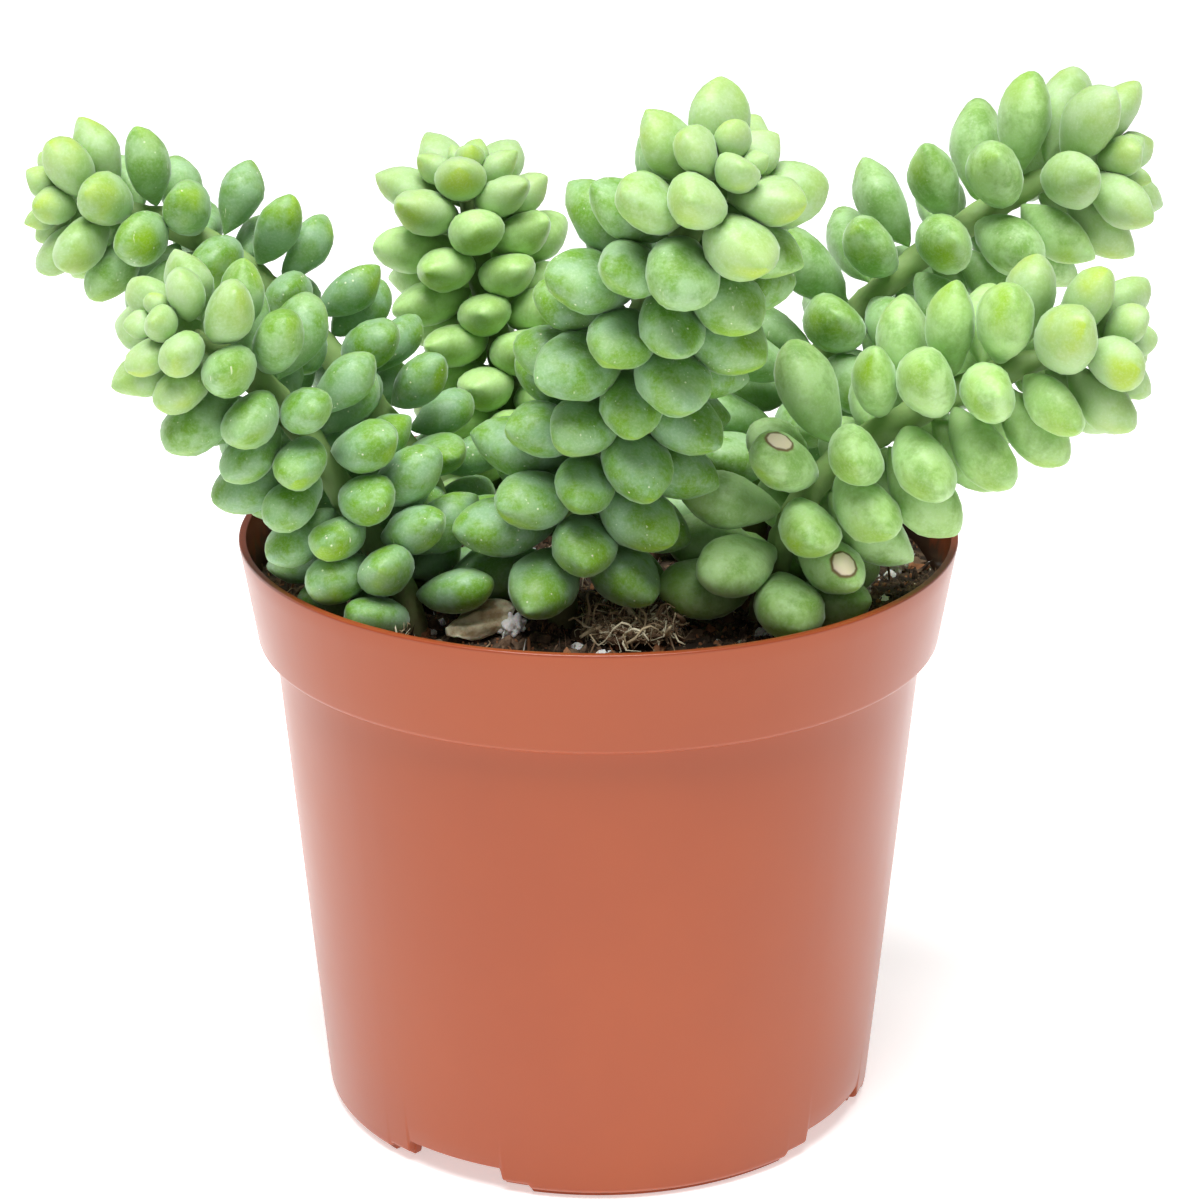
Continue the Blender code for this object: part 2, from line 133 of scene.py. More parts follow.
# The pot: one thin shell of terracotta-coloured polypropylene, injection moulded, with a stepped
# collar, a flat lip, and a foot ring cut by four notches so that water drains away.
RIM_RADIUS = (POT_HIGH.x - POT_LOW.x) / 2 / MM
POT_HEIGHT = POT_HIGH.z / MM
POT_WALL = 1.1
COLLAR_FOOT = POT_HEIGHT - 15.5
COLLAR_RADIUS = 50.2
BODY_RADIUS = 47.7
FOOT_RADIUS = 41.5
FLOOR_UNDERSIDE = 4.2
FOOT_RING = (38.7, 40.1)
PAD_HEIGHT = 0.9
NOTCH_HEIGHT = 3.4
NOTCH_HALF = math.radians(11.25)
NOTCH_FROM = math.radians(-31 - 90)
NOTCH_SLOPE = math.radians(1.1)
PAD_HALF = math.radians(28)
SQUEEZE_BELOW = 4.8
POT_STEP = math.radians(2.25)
DRAINS = 5
DRAIN_RADIUS = 3.5
DRAIN_RING = 25.0
DRAIN_SIDES = 40


def arc(centre, radius, start, stop, steps):
    turns = [math.radians(start + (stop - start) * step / steps) for step in range(steps + 1)]
    return [(centre[0] + radius * math.cos(turn), centre[1] + radius * math.sin(turn)) for turn in turns]


def round_ring(radius, height, sides):
    turns = (2 * math.pi * side / sides for side in range(sides))
    return [(radius * math.cos(turn), radius * math.sin(turn), height) for turn in turns]


def straight(start, stop, steps):
    """Points between two, without the ends."""
    shares = [step / steps for step in range(1, steps)]
    return [(start[0] + (stop[0] - start[0]) * s, start[1] + (stop[1] - start[1]) * s) for s in shares]


def pot_outline():
    """(radius, height) from the underside, round the foot, up the outside, over the lip and down inside."""
    body_foot, body_top = (FOOT_RADIUS, PAD_HEIGHT + 1.0), (BODY_RADIUS, COLLAR_FOOT - 0.5)
    lip_out, lip_in = RIM_RADIUS, RIM_RADIUS - POT_WALL
    points = [(FOOT_RING[0] - 0.5, FLOOR_UNDERSIDE), (FOOT_RING[0] - 0.3, 3.0), (FOOT_RING[0] - 0.1, 1.5)]
    points += arc((FOOT_RING[0] + 0.2, 0.2), 0.2, 180, 270, 3)
    points += arc((FOOT_RING[1] - 0.25, 0.25), 0.25, -90, 0, 3)
    points += [(FOOT_RING[1], PAD_HEIGHT - 0.12), (FOOT_RING[1] + 0.12, PAD_HEIGHT)]
    points += arc((FOOT_RADIUS - 1.0, PAD_HEIGHT + 1.0), 1.0, -80, 0, 6)
    points += straight(body_foot, body_top, 14) + [body_top]
    points += arc((BODY_RADIUS + 0.6, COLLAR_FOOT - 0.5), 0.6, 180, 90, 4)[1:]
    points += arc((COLLAR_RADIUS - 0.9, COLLAR_FOOT + 1.0), 0.9, -90, -5, 6)
    points += straight((COLLAR_RADIUS, COLLAR_FOOT + 1.1), (lip_out, POT_HEIGHT - 0.35), 5)
    points += arc((lip_out - 0.3, POT_HEIGHT - 0.3), 0.3, 0, 90, 5)
    points += arc((lip_in + 0.2, POT_HEIGHT - 0.2), 0.2, 90, 180, 4)
    points += straight((lip_in, POT_HEIGHT - 0.3), (COLLAR_RADIUS - POT_WALL, COLLAR_FOOT + 1.5), 4)
    points += [(COLLAR_RADIUS - POT_WALL, COLLAR_FOOT + 1.0), (BODY_RADIUS - POT_WALL, COLLAR_FOOT - 1.0)]
    points += straight((BODY_RADIUS - POT_WALL, COLLAR_FOOT - 1), (FOOT_RADIUS - POT_WALL, 6.5), 8)
    points += [(FOOT_RADIUS - POT_WALL, FLOOR_UNDERSIDE + POT_WALL + 1.0),
               (FOOT_RADIUS - POT_WALL - 1.0, FLOOR_UNDERSIDE + POT_WALL)]
    return points


def eased(share):
    share = min(1.0, max(0.0, share))
    return share * share * (3 - 2 * share)


def turn_from(turn, centre):
    return abs((turn - centre + math.pi) % (2 * math.pi) - math.pi)


def foot_lift(turn):
    """How far the pot's lower edge is raised at a bearing: on a pad, beside a pad, or in a notch."""
    quarter = math.pi / 2
    centres = [NOTCH_FROM + quarter * n for n in range(4)]
    notch = max(eased((NOTCH_HALF - turn_from(turn, c)) / NOTCH_SLOPE + 0.5) for c in centres)
    pad = max(eased((PAD_HALF - turn_from(turn, c + quarter / 2)) / NOTCH_SLOPE + 0.5) for c in centres)
    return max(NOTCH_HEIGHT * notch, PAD_HEIGHT * (1 - pad))


def pot_bearings():
    """Even bearings, with more where the lower edge steps."""
    turns = {round(POT_STEP * n, 6) for n in range(round(2 * math.pi / POT_STEP))}
    for n in range(4):
        notch = NOTCH_FROM + math.pi / 2 * n
        for edge in (notch - NOTCH_HALF, notch + NOTCH_HALF, notch + math.pi / 4 - PAD_HALF,
                     notch + math.pi / 4 + PAD_HALF):
            turns |= {round((edge + NOTCH_SLOPE * step / 8) % (2 * math.pi), 6) for step in range(-5, 6)}
    return sorted(turns)


def loose_shape(name, points, faces):
    """A smooth-shaded mesh object that isn't in the scene yet."""
    mesh = bpy.data.meshes.new(name)
    mesh.from_pydata(points, [], faces)
    mesh.shade_smooth()
    return bpy.data.objects.new(name, mesh)


def new_piece(name, points, faces, smooth_angle=40):
    """A smooth-shaded piece in the scene, from points in millimetres measured from the pot's axis."""
    made = loose_shape(name, [Vector(p) * MM + POT_AXIS for p in points], faces)
    made.data.set_sharp_from_angle(angle=math.radians(smooth_angle))
    scene.collection.objects.link(made)
    return made


def carry(piece, name, values, kind="FLOAT", field="value"):
    """Stores a value for each corner of a piece under a name."""
    piece.data.attributes.new(name, kind, "POINT").data.foreach_set(field, values)


def skin(rings, closed_ends=True):
    """Points and faces over rings of equal count, each ring turning the same way round."""
    sides = len(rings[0])
    points = [p for ring in rings for p in ring]
    faces = []
    for low in range(0, (len(rings) - 1) * sides, sides):
        for side in range(sides):
            after = (side + 1) % sides
            faces.append((low + side, low + after, low + sides + after, low + sides + side))
    if closed_ends:
        faces.append(tuple(reversed(range(sides))))
        faces.append(tuple(range(len(points) - sides, len(points))))
    return points, faces


bearings = pot_bearings()
lifts = [foot_lift(turn) for turn in bearings]
outline = pot_outline()
rings = []
for radius, height in outline:
    free = max(0.0, 1 - height / SQUEEZE_BELOW)
    rings.append([(radius * math.cos(turn), radius * math.sin(turn), height + lift * free)
                  for turn, lift in zip(bearings, lifts)])
pot = new_piece("nursery_pot", *skin(rings), smooth_angle=35)
crest = max(range(len(outline)), key=lambda row: outline[row][1])
carry(pot, "inner", [float(row > crest + 1) for row in range(len(outline)) for _ in bearings])

drill_rings = [round_ring(DRAIN_RADIUS, height, DRAIN_SIDES) for height in (-1.0, FLOOR_UNDERSIDE + 3)]
for number in range(DRAINS):
    turn = 2 * math.pi * number / DRAINS
    centre = Vector((DRAIN_RING * math.cos(turn), DRAIN_RING * math.sin(turn), 0))
    drill = new_piece("drill", *skin([[Vector(p) + centre for p in ring] for ring in drill_rings]))
    cut = pot.modifiers.new("drain_hole", "BOOLEAN")
    cut.operation, cut.solver, cut.object = "DIFFERENCE", "EXACT", drill


def as_plain_mesh(piece):
    """The evaluated piece as a plain mesh with no modifiers."""
    graph = bpy.context.evaluated_depsgraph_get()
    finished = bpy.data.meshes.new_from_object(piece.evaluated_get(graph))
    piece.modifiers.clear()
    piece.data = finished
    return piece


as_plain_mesh(pot)
for drill in [o for o in bpy.data.objects if o.name.startswith("drill")]:
    bpy.data.objects.remove(drill)


class Nodes:
    """Short names for placing and linking nodes in one tree."""

    def __init__(self, tree):
        self.tree = tree

    def put(self, kind, settings=None, **values):
        node = self.tree.nodes.new(kind)
        for key, value in (settings or {}).items():
            setattr(node, key, value)
        for key, value in values.items():
            self.feed(node.inputs[key.replace("_", " ")], value)
        return node

    def made(self, kind, settings=None, **values):
        return self.put(kind, settings, **values).outputs[0]

    def feed(self, socket, value):
        if isinstance(value, bpy.types.NodeSocket):
            self.tree.links.new(value, socket)
        else:
            socket.default_value = value

    def maths(self, operation, *values):
        node = self.put("ShaderNodeMath", {"operation": operation})
        for socket, value in zip(node.inputs, values):
            self.feed(socket, value)
        return node.outputs[0]

    def plus(self, first, second):
        return self.maths("ADD", first, second)

    def times(self, first, second):
        return self.maths("MULTIPLY", first, second)

    def vectors(self, operation, first, second, result="Vector"):
        node = self.put("ShaderNodeVectorMath", {"operation": operation})
        self.feed(node.inputs[0], first)
        self.feed(node.inputs["Scale" if operation == "SCALE" else 1], second)
        return node.outputs[result]

    def ramp(self, value, low, high, to_low=0.0, to_high=1.0):
        return self.made("ShaderNodeMapRange", {"interpolation_type": "SMOOTHSTEP"}, Value=value,
                         From_Min=low, From_Max=high, To_Min=to_low, To_Max=to_high)

    def blend(self, share, first, second):
        node = self.put("ShaderNodeMix", {"data_type": "RGBA"})
        for socket, value in zip((node.inputs[0], node.inputs[6], node.inputs[7]), (share, first, second)):
            self.feed(socket, value)
        return node.outputs[2]

    def noise(self, where, scale, detail=3.0, roughness=0.55):
        return self.made("ShaderNodeTexNoise", Vector=where, Scale=scale, Detail=detail,
                         Roughness=roughness)

    def mark(self, name):
        """What the piece carries under a name."""
        return self.put("ShaderNodeAttribute", {"attribute_name": name}).outputs["Fac"]

    def surface(self, colour, roughness, relief, strength, depth):
        """Feeds the shader its colour, its roughness and a relief, whose depth is in millimetres."""
        shader = self.tree.nodes["Principled BSDF"].inputs
        bump = self.made("ShaderNodeBump", Strength=strength, Distance=depth * MM, Height=relief)
        for key, value in (("Base Color", colour), ("Roughness", roughness), ("Normal", bump)):
            self.feed(shader[key], value)


def new_material(name, **values):
    """A material with these constants on its Principled shader, its helper, and the place on the object."""
    made = bpy.data.materials.new(name)
    made.use_nodes = True
    for key, value in values.items():
        made.node_tree.nodes["Principled BSDF"].inputs[key.replace("_", " ")].default_value = value
    n = Nodes(made.node_tree)
    return made, n, n.put("ShaderNodeTexCoord").outputs["Object"]


POT_ORANGE = (0.395, 0.074, 0.015, 1)
POT_DEEP = (0.370, 0.066, 0.013, 1)
POT_PALE = (0.430, 0.110, 0.045, 1)
# Painted shade: the darker red-brown below is painted on the top of the lip and on the inner wall.
POT_PAINTED_SHADE = (0.300, 0.053, 0.014, 1)
SOIL_STAIN = (0.060, 0.028, 0.016, 1)
STAIN_HEIGHTS = (90.5, 86.5)
FLECK_EDGE = (0.748, 0.868)

plastic, n, where = new_material(
    "pot_plastic", Coat_Weight=0.45, Coat_Roughness=0.18, Specular_IOR_Level=0.25, Subsurface_Weight=0.04,
    Subsurface_Scale=1.5 * MM)
height = n.put("ShaderNodeSeparateXYZ", Vector=where).outputs["Z"]
clouds = n.noise(where, 24.0, 4.0)
flecks = n.ramp(n.noise(where, 1500.0, 2.0), *FLECK_EDGE)
tint = n.blend(n.ramp(clouds, 0.35, 0.7), POT_DEEP, POT_ORANGE)
tint = n.blend(n.times(flecks, 0.5), tint, POT_PALE)
# Painted shade: the top of the lip and the whole inside of the wall are painted darker than the body.
tint = n.blend(n.ramp(height, (POT_HEIGHT - 0.5) * MM, (POT_HEIGHT - 0.25) * MM), tint, POT_PAINTED_SHADE)
tint = n.blend(n.mark("inner"), tint, POT_PAINTED_SHADE)
smear = n.plus(height, n.times(n.noise(where, 260.0, 5.0, 0.7), 9.0 * MM))
stain = n.times(n.mark("inner"), n.ramp(smear, STAIN_HEIGHTS[0] * MM, STAIN_HEIGHTS[1] * MM))
grain = n.plus(n.times(n.noise(where, 2600.0, 2.0), 0.3), n.noise(where, 120.0))
n.surface(n.blend(stain, tint, SOIL_STAIN), n.ramp(clouds, 0.3, 0.75, 0.36, 0.46), grain, 0.12, 0.15)
pot.data.materials.clear()
pot.data.materials.append(plastic)
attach(pot, "root")
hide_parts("pot")


# The potting mix: dark peat with crumbs of bark and fibre, pressed in by hand and left uneven. The bed
# is one solid; the loose crumbs that lie on it are scattered over its surface.
MIX_TOP = 81.4
MIX_SWELL = 1.3
MIX_LUMP = 17.0
MIX_INSET = POT_WALL + 0.35
MIX_EDGE = COLLAR_RADIUS + 0.35 * (RIM_RADIUS - COLLAR_RADIUS) - MIX_INSET
BED_RINGS = 64
BED_SIDES = 220
CRUMBS = 1900
FINES = 7500
WALL_INSIDE = MIX_EDGE + 0.25
CRUMB_SIZES = (0.4, 1.5)
FINE_SIZES = (0.22, 0.6)
CRUMB_SHAPES = ((1, 0.8, 0.7), (1.3, 0.7, 0.6), (1, 1, 0.8), (1.7, 0.45, 0.4),
                (2.4, 0.25, 0.22), (1.2, 1.0, 0.35), (3.2, 0.16, 0.16), (1, 0.9, 0.9))
FINE_SHAPES = ((1, 0.8, 0.7), (1.5, 0.6, 0.5)) * 4
LAID_ABOVE = MIX_TOP - 4
STEEPEST = 0.3
FEW_LARGE = 2.5


def mix_height(x, y):
    """The smooth height of the mix at a place measured from the pot's axis."""
    return MIX_TOP + MIX_SWELL * noise.noise(Vector((x, y, 0.0)) / MIX_LUMP)


def bed_height(x, y):
    place = Vector((x, y, 3.0))
    lumps = 0.55 * noise.fractal(place / 5.0, 1.0, 2.0, 4) + 0.28 * noise.fractal(place / 1.6, 0.9, 2.1, 3)
    return mix_height(x, y) + lumps - 0.2


rings = [round_ring(FOOT_RADIUS - MIX_INSET, FLOOR_UNDERSIDE + POT_WALL + 0.3, BED_SIDES),
         round_ring(BODY_RADIUS - MIX_INSET, COLLAR_FOOT - POT_WALL, BED_SIDES),
         round_ring(COLLAR_RADIUS - MIX_INSET, COLLAR_FOOT + MIX_INSET, BED_SIDES)]
for step in range(BED_RINGS):
    share = math.sqrt(1 - step / BED_RINGS)
    rings.append([(x, y, bed_height(x, y)) for x, y, _ in round_ring(MIX_EDGE * share, 0.0, BED_SIDES)])
bed = new_piece("mix_bed", *skin(rings), smooth_angle=80)

MIX_DARK = (0.0330, 0.0225, 0.0155, 1)
MIX_BROWN = (0.200, 0.126, 0.078, 1)
MIX_RUST = (0.320, 0.140, 0.066, 1)

peat, n, where = new_material("peat", Specular_IOR_Level=0.25)
tone = n.mark("tone")
patch = n.ramp(n.plus(n.noise(where, 420.0, 4.0), n.times(tone, 0.30)), 0.42, 0.80)
rust = n.ramp(n.plus(tone, n.times(n.noise(where, 900.0), 0.3)), 0.88, 1.06)
shade = n.blend(rust, n.blend(patch, MIX_DARK, MIX_BROWN), MIX_RUST)
roughness = n.ramp(n.noise(where, 600.0), 0.3, 0.7, 0.72, 0.98)
n.surface(shade, roughness, n.noise(where, 1500.0, 5.0, 0.7), 0.7, 0.3)
bed.data.materials.append(peat)
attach(bed, "root")
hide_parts("potting_mix")


def lumpy_ball(name, radius, detail, lumps, lump_size, seed, stretch=(1, 1, 1)):
    """A rough rounded lump at the origin, in metres."""
    ball = bmesh.new()
    bmesh.ops.create_icosphere(ball, subdivisions=detail, radius=1.0)
    for corner in ball.verts:
        swell = 1 + lumps * noise.fractal(corner.co / lump_size + Vector((seed, 0, 0)), 1.0, 2.0, 3)
        corner.co = Vector([c * s * swell * radius * MM for c, s in zip(corner.co, stretch)])
    mesh = bpy.data.meshes.new(name)
    ball.to_mesh(mesh)
    ball.free()
    return bpy.data.objects.new(name, mesh)


def shape_collection(name, shapes):
    """A collection of shapes to scatter, kept out of the scene."""
    kept = bpy.data.collections.new(name)
    for shape in shapes:
        kept.objects.link(shape)
    return kept


class Growth(Nodes):
    """Short names for placing nodes in a geometry tree with named inputs."""

    def __init__(self, name, **inputs):
        super().__init__(bpy.data.node_groups.new(name, "GeometryNodeTree"))
        new_socket = self.tree.interface.new_socket
        new_socket("Geometry", in_out="INPUT", socket_type="NodeSocketGeometry")
        new_socket("Geometry", in_out="OUTPUT", socket_type="NodeSocketGeometry")
        self.sockets = {label: new_socket(label, in_out="INPUT", socket_type=f"NodeSocket{kind}")
                        for label, kind in inputs.items()}
        self.given = self.tree.nodes.new("NodeGroupInput").outputs

    def random(self, low, high, seed, kind="FLOAT"):
        node = self.put("FunctionNodeRandomValue", {"data_type": kind}, Seed=seed)
        least, most, result = {"FLOAT": (2, 3, 1), "INT": (4, 5, 2)}[kind]
        node.inputs[least].default_value, node.inputs[most].default_value = low, high
        return node.outputs[result]

    def named(self, name, kind):
        return self.made("GeometryNodeInputNamedAttribute", {"data_type": kind}, Name=name)

    def toned(self, instances, tone):
        """Gives each instance its own shade, which its corners then carry."""
        return self.made("GeometryNodeStoreNamedAttribute", {"data_type": "FLOAT", "domain": "INSTANCE"},
                         Geometry=instances, Name="tone", Value=tone)

    def spread(self, points, shapes, number, turn, size):
        """One of a collection's shapes on each point, picked by its number."""
        shape = self.made("GeometryNodeCollectionInfo", Collection=shapes, Separate_Children=True,
                          Reset_Children=True)
        return self.made("GeometryNodeInstanceOnPoints", Points=points, Instance=shape, Pick_Instance=True,
                         Instance_Index=number, Rotation=turn, Scale=size)

    def ends(self, instances, offset):
        """Makes the instances real, shifts their corners, sets the given material and hands them out."""
        real = self.made("GeometryNodeRealizeInstances", Geometry=instances)
        moved = self.made("GeometryNodeSetPosition", Geometry=real, Offset=offset)
        finished = self.made("GeometryNodeSetMaterial", Geometry=moved, Material=self.given["Material"])
        self.feed(self.tree.nodes.new("NodeGroupOutput").inputs["Geometry"], finished)
        return self

    def run(self, piece, **values):
        """Puts the tree on a piece with these inputs and keeps what it makes as a plain mesh."""
        modifier = piece.modifiers.new(self.tree.name, "NODES")
        modifier.node_group = self.tree
        for label, value in values.items():
            modifier[self.sockets[label].identifier] = value
        return as_plain_mesh(piece)


def scatter_tree():
    """Lays shapes over the upward faces of a surface, turned at random, few of them large."""
    g = Growth("scatter_on_top", Shapes="Collection", Count="Float", Smallest="Float", Largest="Float",
               Sink="Float", Tilt="Float", Centre="Vector", Reach="Float", Seed="Int", Material="Material")
    given = g.given
    normal = g.put("ShaderNodeSeparateXYZ", Vector=g.made("GeometryNodeInputNormal"))
    place = g.put("ShaderNodeSeparateXYZ", Vector=g.made("GeometryNodeInputPosition"))
    upward = g.put("FunctionNodeBooleanMath", {"operation": "AND"})
    for socket, value, least in zip(upward.inputs, (normal, place), (STEEPEST, LAID_ABOVE * MM)):
        more = g.made("FunctionNodeCompare", {"operation": "GREATER_THAN"}, A=value.outputs["Z"], B=least)
        g.feed(socket, more)
    area = g.put("GeometryNodeAttributeStatistic", {"domain": "FACE"}, Geometry=given["Geometry"],
                 Selection=upward.outputs[0], Attribute=g.made("GeometryNodeInputMeshFaceArea"))
    density = g.maths("DIVIDE", given["Count"], area.outputs["Sum"])
    points = g.made("GeometryNodeDistributePointsOnFaces", Mesh=given["Geometry"],
                    Selection=upward.outputs[0], Density=density, Seed=given["Seed"])
    turn = g.made("ShaderNodeCombineXYZ", X=g.times(g.random(-1, 1, 15), given["Tilt"]),
                  Y=g.times(g.random(-1, 1, 16), given["Tilt"]), Z=g.random(0, math.tau, 17))
    span = g.maths("SUBTRACT", given["Largest"], given["Smallest"])
    size = g.plus(given["Smallest"], g.times(span, g.maths("POWER", g.random(0, 1, 12), FEW_LARGE)))
    placed = g.spread(points, given["Shapes"], g.random(0, 7, 13, "INT"),
                      g.made("FunctionNodeEulerToRotation", Euler=turn), size)
    drop = g.made("ShaderNodeCombineXYZ", Z=g.times(g.times(size, given["Sink"]), -MM))
    sunk = g.made("GeometryNodeTranslateInstances", Instances=placed, Local_Space=False, Translation=drop)
    toned = g.toned(sunk, g.random(0.0, 1.0, 14))
    outward = g.vectors("SUBTRACT", g.made("GeometryNodeInputPosition"), given["Centre"])
    outward = g.vectors("MULTIPLY", outward, (1, 1, 0))
    excess = g.maths("DIVIDE", given["Reach"], g.vectors("DISTANCE", outward, (0, 0, 0), "Value"))
    inward = g.vectors("SCALE", outward, g.maths("MINIMUM", g.maths("SUBTRACT", excess, 1.0), 0.0))
    return g.ends(toned, inward)


scatter = scatter_tree()


def strewn(base, name, shapes, count, sizes, seed, finish, sink=0.0, tilt=math.pi):
    """A piece made of shapes strewn over another piece and held inside the pot's wall."""
    made = bpy.data.objects.new(name, base.data.copy())
    scene.collection.objects.link(made)
    return scatter.run(made, Shapes=shapes, Count=float(count), Smallest=sizes[0], Largest=sizes[1],
                       Sink=sink, Tilt=tilt, Centre=POT_AXIS, Reach=WALL_INSIDE * MM, Seed=seed,
                       Material=finish)


crumb_shapes = shape_collection("crumb_shapes", [
    lumpy_ball(f"crumb_{k}", 1.0, 2, 0.5, 0.9, 7 * k, stretch) for k, stretch in enumerate(CRUMB_SHAPES)])
fine_shapes = shape_collection("fine_shapes", [
    lumpy_ball(f"fine_{k}", 1.0, 1, 0.4, 0.9, 5 * k, stretch) for k, stretch in enumerate(FINE_SHAPES)])
crumbs = strewn(bed, "mix_crumbs", crumb_shapes, CRUMBS, CRUMB_SIZES, 3, peat, sink=0.15)
fines = strewn(bed, "mix_fines", fine_shapes, FINES, FINE_SIZES, 5, peat)
for piece in (crumbs, fines):
    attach(piece, "root")


# The perlite: puffed white volcanic grains mixed into the peat. The largest lie half sunk in it, with
# small flecks of the same grains scattered round.
PERLITE_NODES = sorted(name for name in frame["nodes"] if name.startswith("perlite"))
PERLITE_WHITE = (0.94, 0.93, 0.90, 1)
PERLITE_GREY = (0.70, 0.66, 0.60, 1)
GRAIN_SHOWS = 0.5
FLECKS = 300
FLECK_SIZES = (0.22, 1.1)

grain_white, n, where = new_material(
    "perlite_white", Specular_IOR_Level=0.3, Subsurface_Weight=0.15, Subsurface_Scale=0.8 * MM)
shade = n.blend(n.ramp(n.noise(where, 1100.0, 4.0), 0.42, 0.3), PERLITE_WHITE, PERLITE_GREY)
roughness = n.ramp(n.noise(where, 800.0), 0.3, 0.7, 0.75, 0.95)
n.surface(shade, roughness, n.noise(where, 2200.0, 4.0, 0.65), 0.8, 0.25)

for number, node in enumerate(PERLITE_NODES):
    low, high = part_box(node)
    ball = lumpy_ball(f"puffed_grain_{number + 1}", (high.x - low.x) / 2 / MM, 4, 0.5, 0.5, 31 * number)
    ball.data.transform(Matrix.Translation((low + high) / 2 + Vector((0, 0, GRAIN_SHOWS * MM))))
    ball.data.shade_smooth()
    ball.data.materials.append(grain_white)
    scene.collection.objects.link(ball)
    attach(ball, "root")
    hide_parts(node)

flecks = strewn(bed, "perlite_flecks", crumb_shapes, FLECKS, FLECK_SIZES, 9, grain_white)
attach(flecks, "root")


# The stems: six fleshy stems rooted in the mix that rise, lean out over the rim and end in rosettes.
# Their bark is hidden under the leaves except where old leaves have fallen near the soil.
STEM_RADIUS = 2.1
STEM_SHORT_OF_TIP = 4.0
STEM_SIDES = 14
ROUTE_STEP = 0.5
# Painted light: the rear and right-hand shoots carry a figure that lowers the age their wax is coloured by,
# painting their leaves paler to stand in for the light they get less of.
SHOOTS = {
    "front_left": {
        "route": ((-25, -23, 72), (-27, -24, 86), (-30, -22, 91), (-35, -22, 100), (-41, -24, 111),
                  (-48, -26, 120), (-55, -29, 126), (-58, -31, 128)),
        "leaf": (13.0, 8.6), "pitch": 1.2, "bearing": 20, "pointed": 0.2},
    "back_left": {
        "route": ((-20, -3, 72), (-23, -2, 90), (-27, 0, 99), (-37, 2, 112), (-46, 4, 122),
                  (-57, 6, 130), (-67, 6, 134), (-77, 5, 135.5)),
        "leaf": (12.6, 8.2), "pitch": 1.35, "bearing": 80, "pointed": 0.2},
    "rear": {
        "route": ((-12, 20, 72), (-12, 22, 85), (-13, 26, 95), (-15, 29, 107), (-18, 31, 119),
                  (-20, 31, 130), (-20, 31, 134)),
        "leaf": (12.8, 8.8), "pitch": 0.98, "bearing": 150, "pointed": 0.8, "painted_light_youth": 0.95},
    "centre": {
        "route": ((-6, -20, 72), (-5, -22, 85), (-4, -22, 94), (-1, -24, 105), (3, -27, 117),
                  (7, -33, 132), (13, -40, 145), (17, -44, 152)),
        "leaf": (14.8, 9.8), "pitch": 1.2, "bearing": 0, "pointed": 0.8, "bare": 7.2},
    "back_right": {
        "route": ((22, 10, 72), (24, 12, 88), (29, 16, 100), (35, 20, 111), (45, 22, 121),
                  (57, 22, 130), (67, 21, 136), (75.5, 20, 138)),
        "leaf": (16.4, 10.0), "pitch": 1.6, "bearing": 200, "pointed": 0.4, "painted_light_youth": 0.35},
    "front_right": {
        "route": ((22, -18, 72), (24, -20, 86), (27, -22, 97), (33, -23, 106), (44, -25, 114),
                  (55, -27, 120), (64, -28, 123.5), (69, -29, 124.5)),
        "leaf": (14.6, 9.6), "pitch": 1.5, "bearing": 300, "pointed": 0.1, "painted_light_youth": 0.60},
}


def smooth_route(corners):
    """Points ROUTE_STEP apart on a smooth curve through the given ones."""
    knots = [Vector(p) for p in corners]
    knots = [2 * knots[0] - knots[1], *knots, 2 * knots[-1] - knots[-2]]
    fine = []
    for before, start, stop, after in zip(knots, knots[1:], knots[2:], knots[3:]):
        for step in range(40):
            t = step / 40
            fine.append(0.5 * (2 * start + (stop - before) * t
                               + (2 * before - 5 * start + 4 * stop - after) * t * t
                               + (3 * start - before - 3 * stop + after) * t ** 3))
    fine.append(knots[-2])
    even, walked = [fine[0]], 0.0
    for a, b in zip(fine, fine[1:]):
        walked += (b - a).length
        if walked >= ROUTE_STEP:
            even.append(b)
            walked -= ROUTE_STEP
    return even


def frames_along(points):
    """(place, along, side, other) at each point, with the cross directions carried on without twist."""
    side = Vector((1, 0, 0))
    frames = []
    for index, place in enumerate(points):
        along = (points[min(index + 1, len(points) - 1)] - points[max(index - 1, 0)]).normalized()
        side = (side - along * side.dot(along)).normalized()
        frames.append((place, along, side, along.cross(side)))
    return frames


def stem_rings(frames):
    rings = []
    for index, (place, _, side, other) in enumerate(frames[::2]):
        ring = []
        for number in range(STEM_SIDES):
            turn = 2 * math.pi * number / STEM_SIDES
            out = math.cos(turn) * side + math.sin(turn) * other
            knobs = 1 + 0.16 * noise.noise((place + out * 2) / 1.8)
            taper = min(1.0, 0.45 + 0.05 * (len(frames) / 2 - index))
            ring.append(place + out * STEM_RADIUS * knobs * taper)
        rings.append(ring)
    return rings


STEM_GREEN = (0.260, 0.400, 0.130, 1)
STEM_BARK = (0.200, 0.190, 0.085, 1)
bark, n, where = new_material("stem_bark", Subsurface_Weight=0.1, Subsurface_Scale=1.0 * MM)
height = n.put("ShaderNodeSeparateXYZ", Vector=where).outputs["Z"]
low_bark = n.ramp(n.plus(height, n.times(n.noise(where, 300.0), 0.02)), 0.104, 0.090)
roughness = n.ramp(n.noise(where, 500.0), 0.3, 0.7, 0.5, 0.8)
n.surface(n.blend(low_bark, STEM_GREEN, STEM_BARK), roughness, n.noise(where, 700.0, 4.0), 0.5, 0.3)

shoot_frames = {name: frames_along(smooth_route(shoot["route"])) for name, shoot in SHOOTS.items()}
for name, frames in shoot_frames.items():
    kept = frames[:len(frames) - round(STEM_SHORT_OF_TIP / ROUTE_STEP)]
    stem = new_piece(f"{name}_stalk", *skin(stem_rings(kept)), smooth_angle=80)
    stem.data.materials.append(bark)
    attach(stem, "root")
    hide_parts(f"{name}_stem")


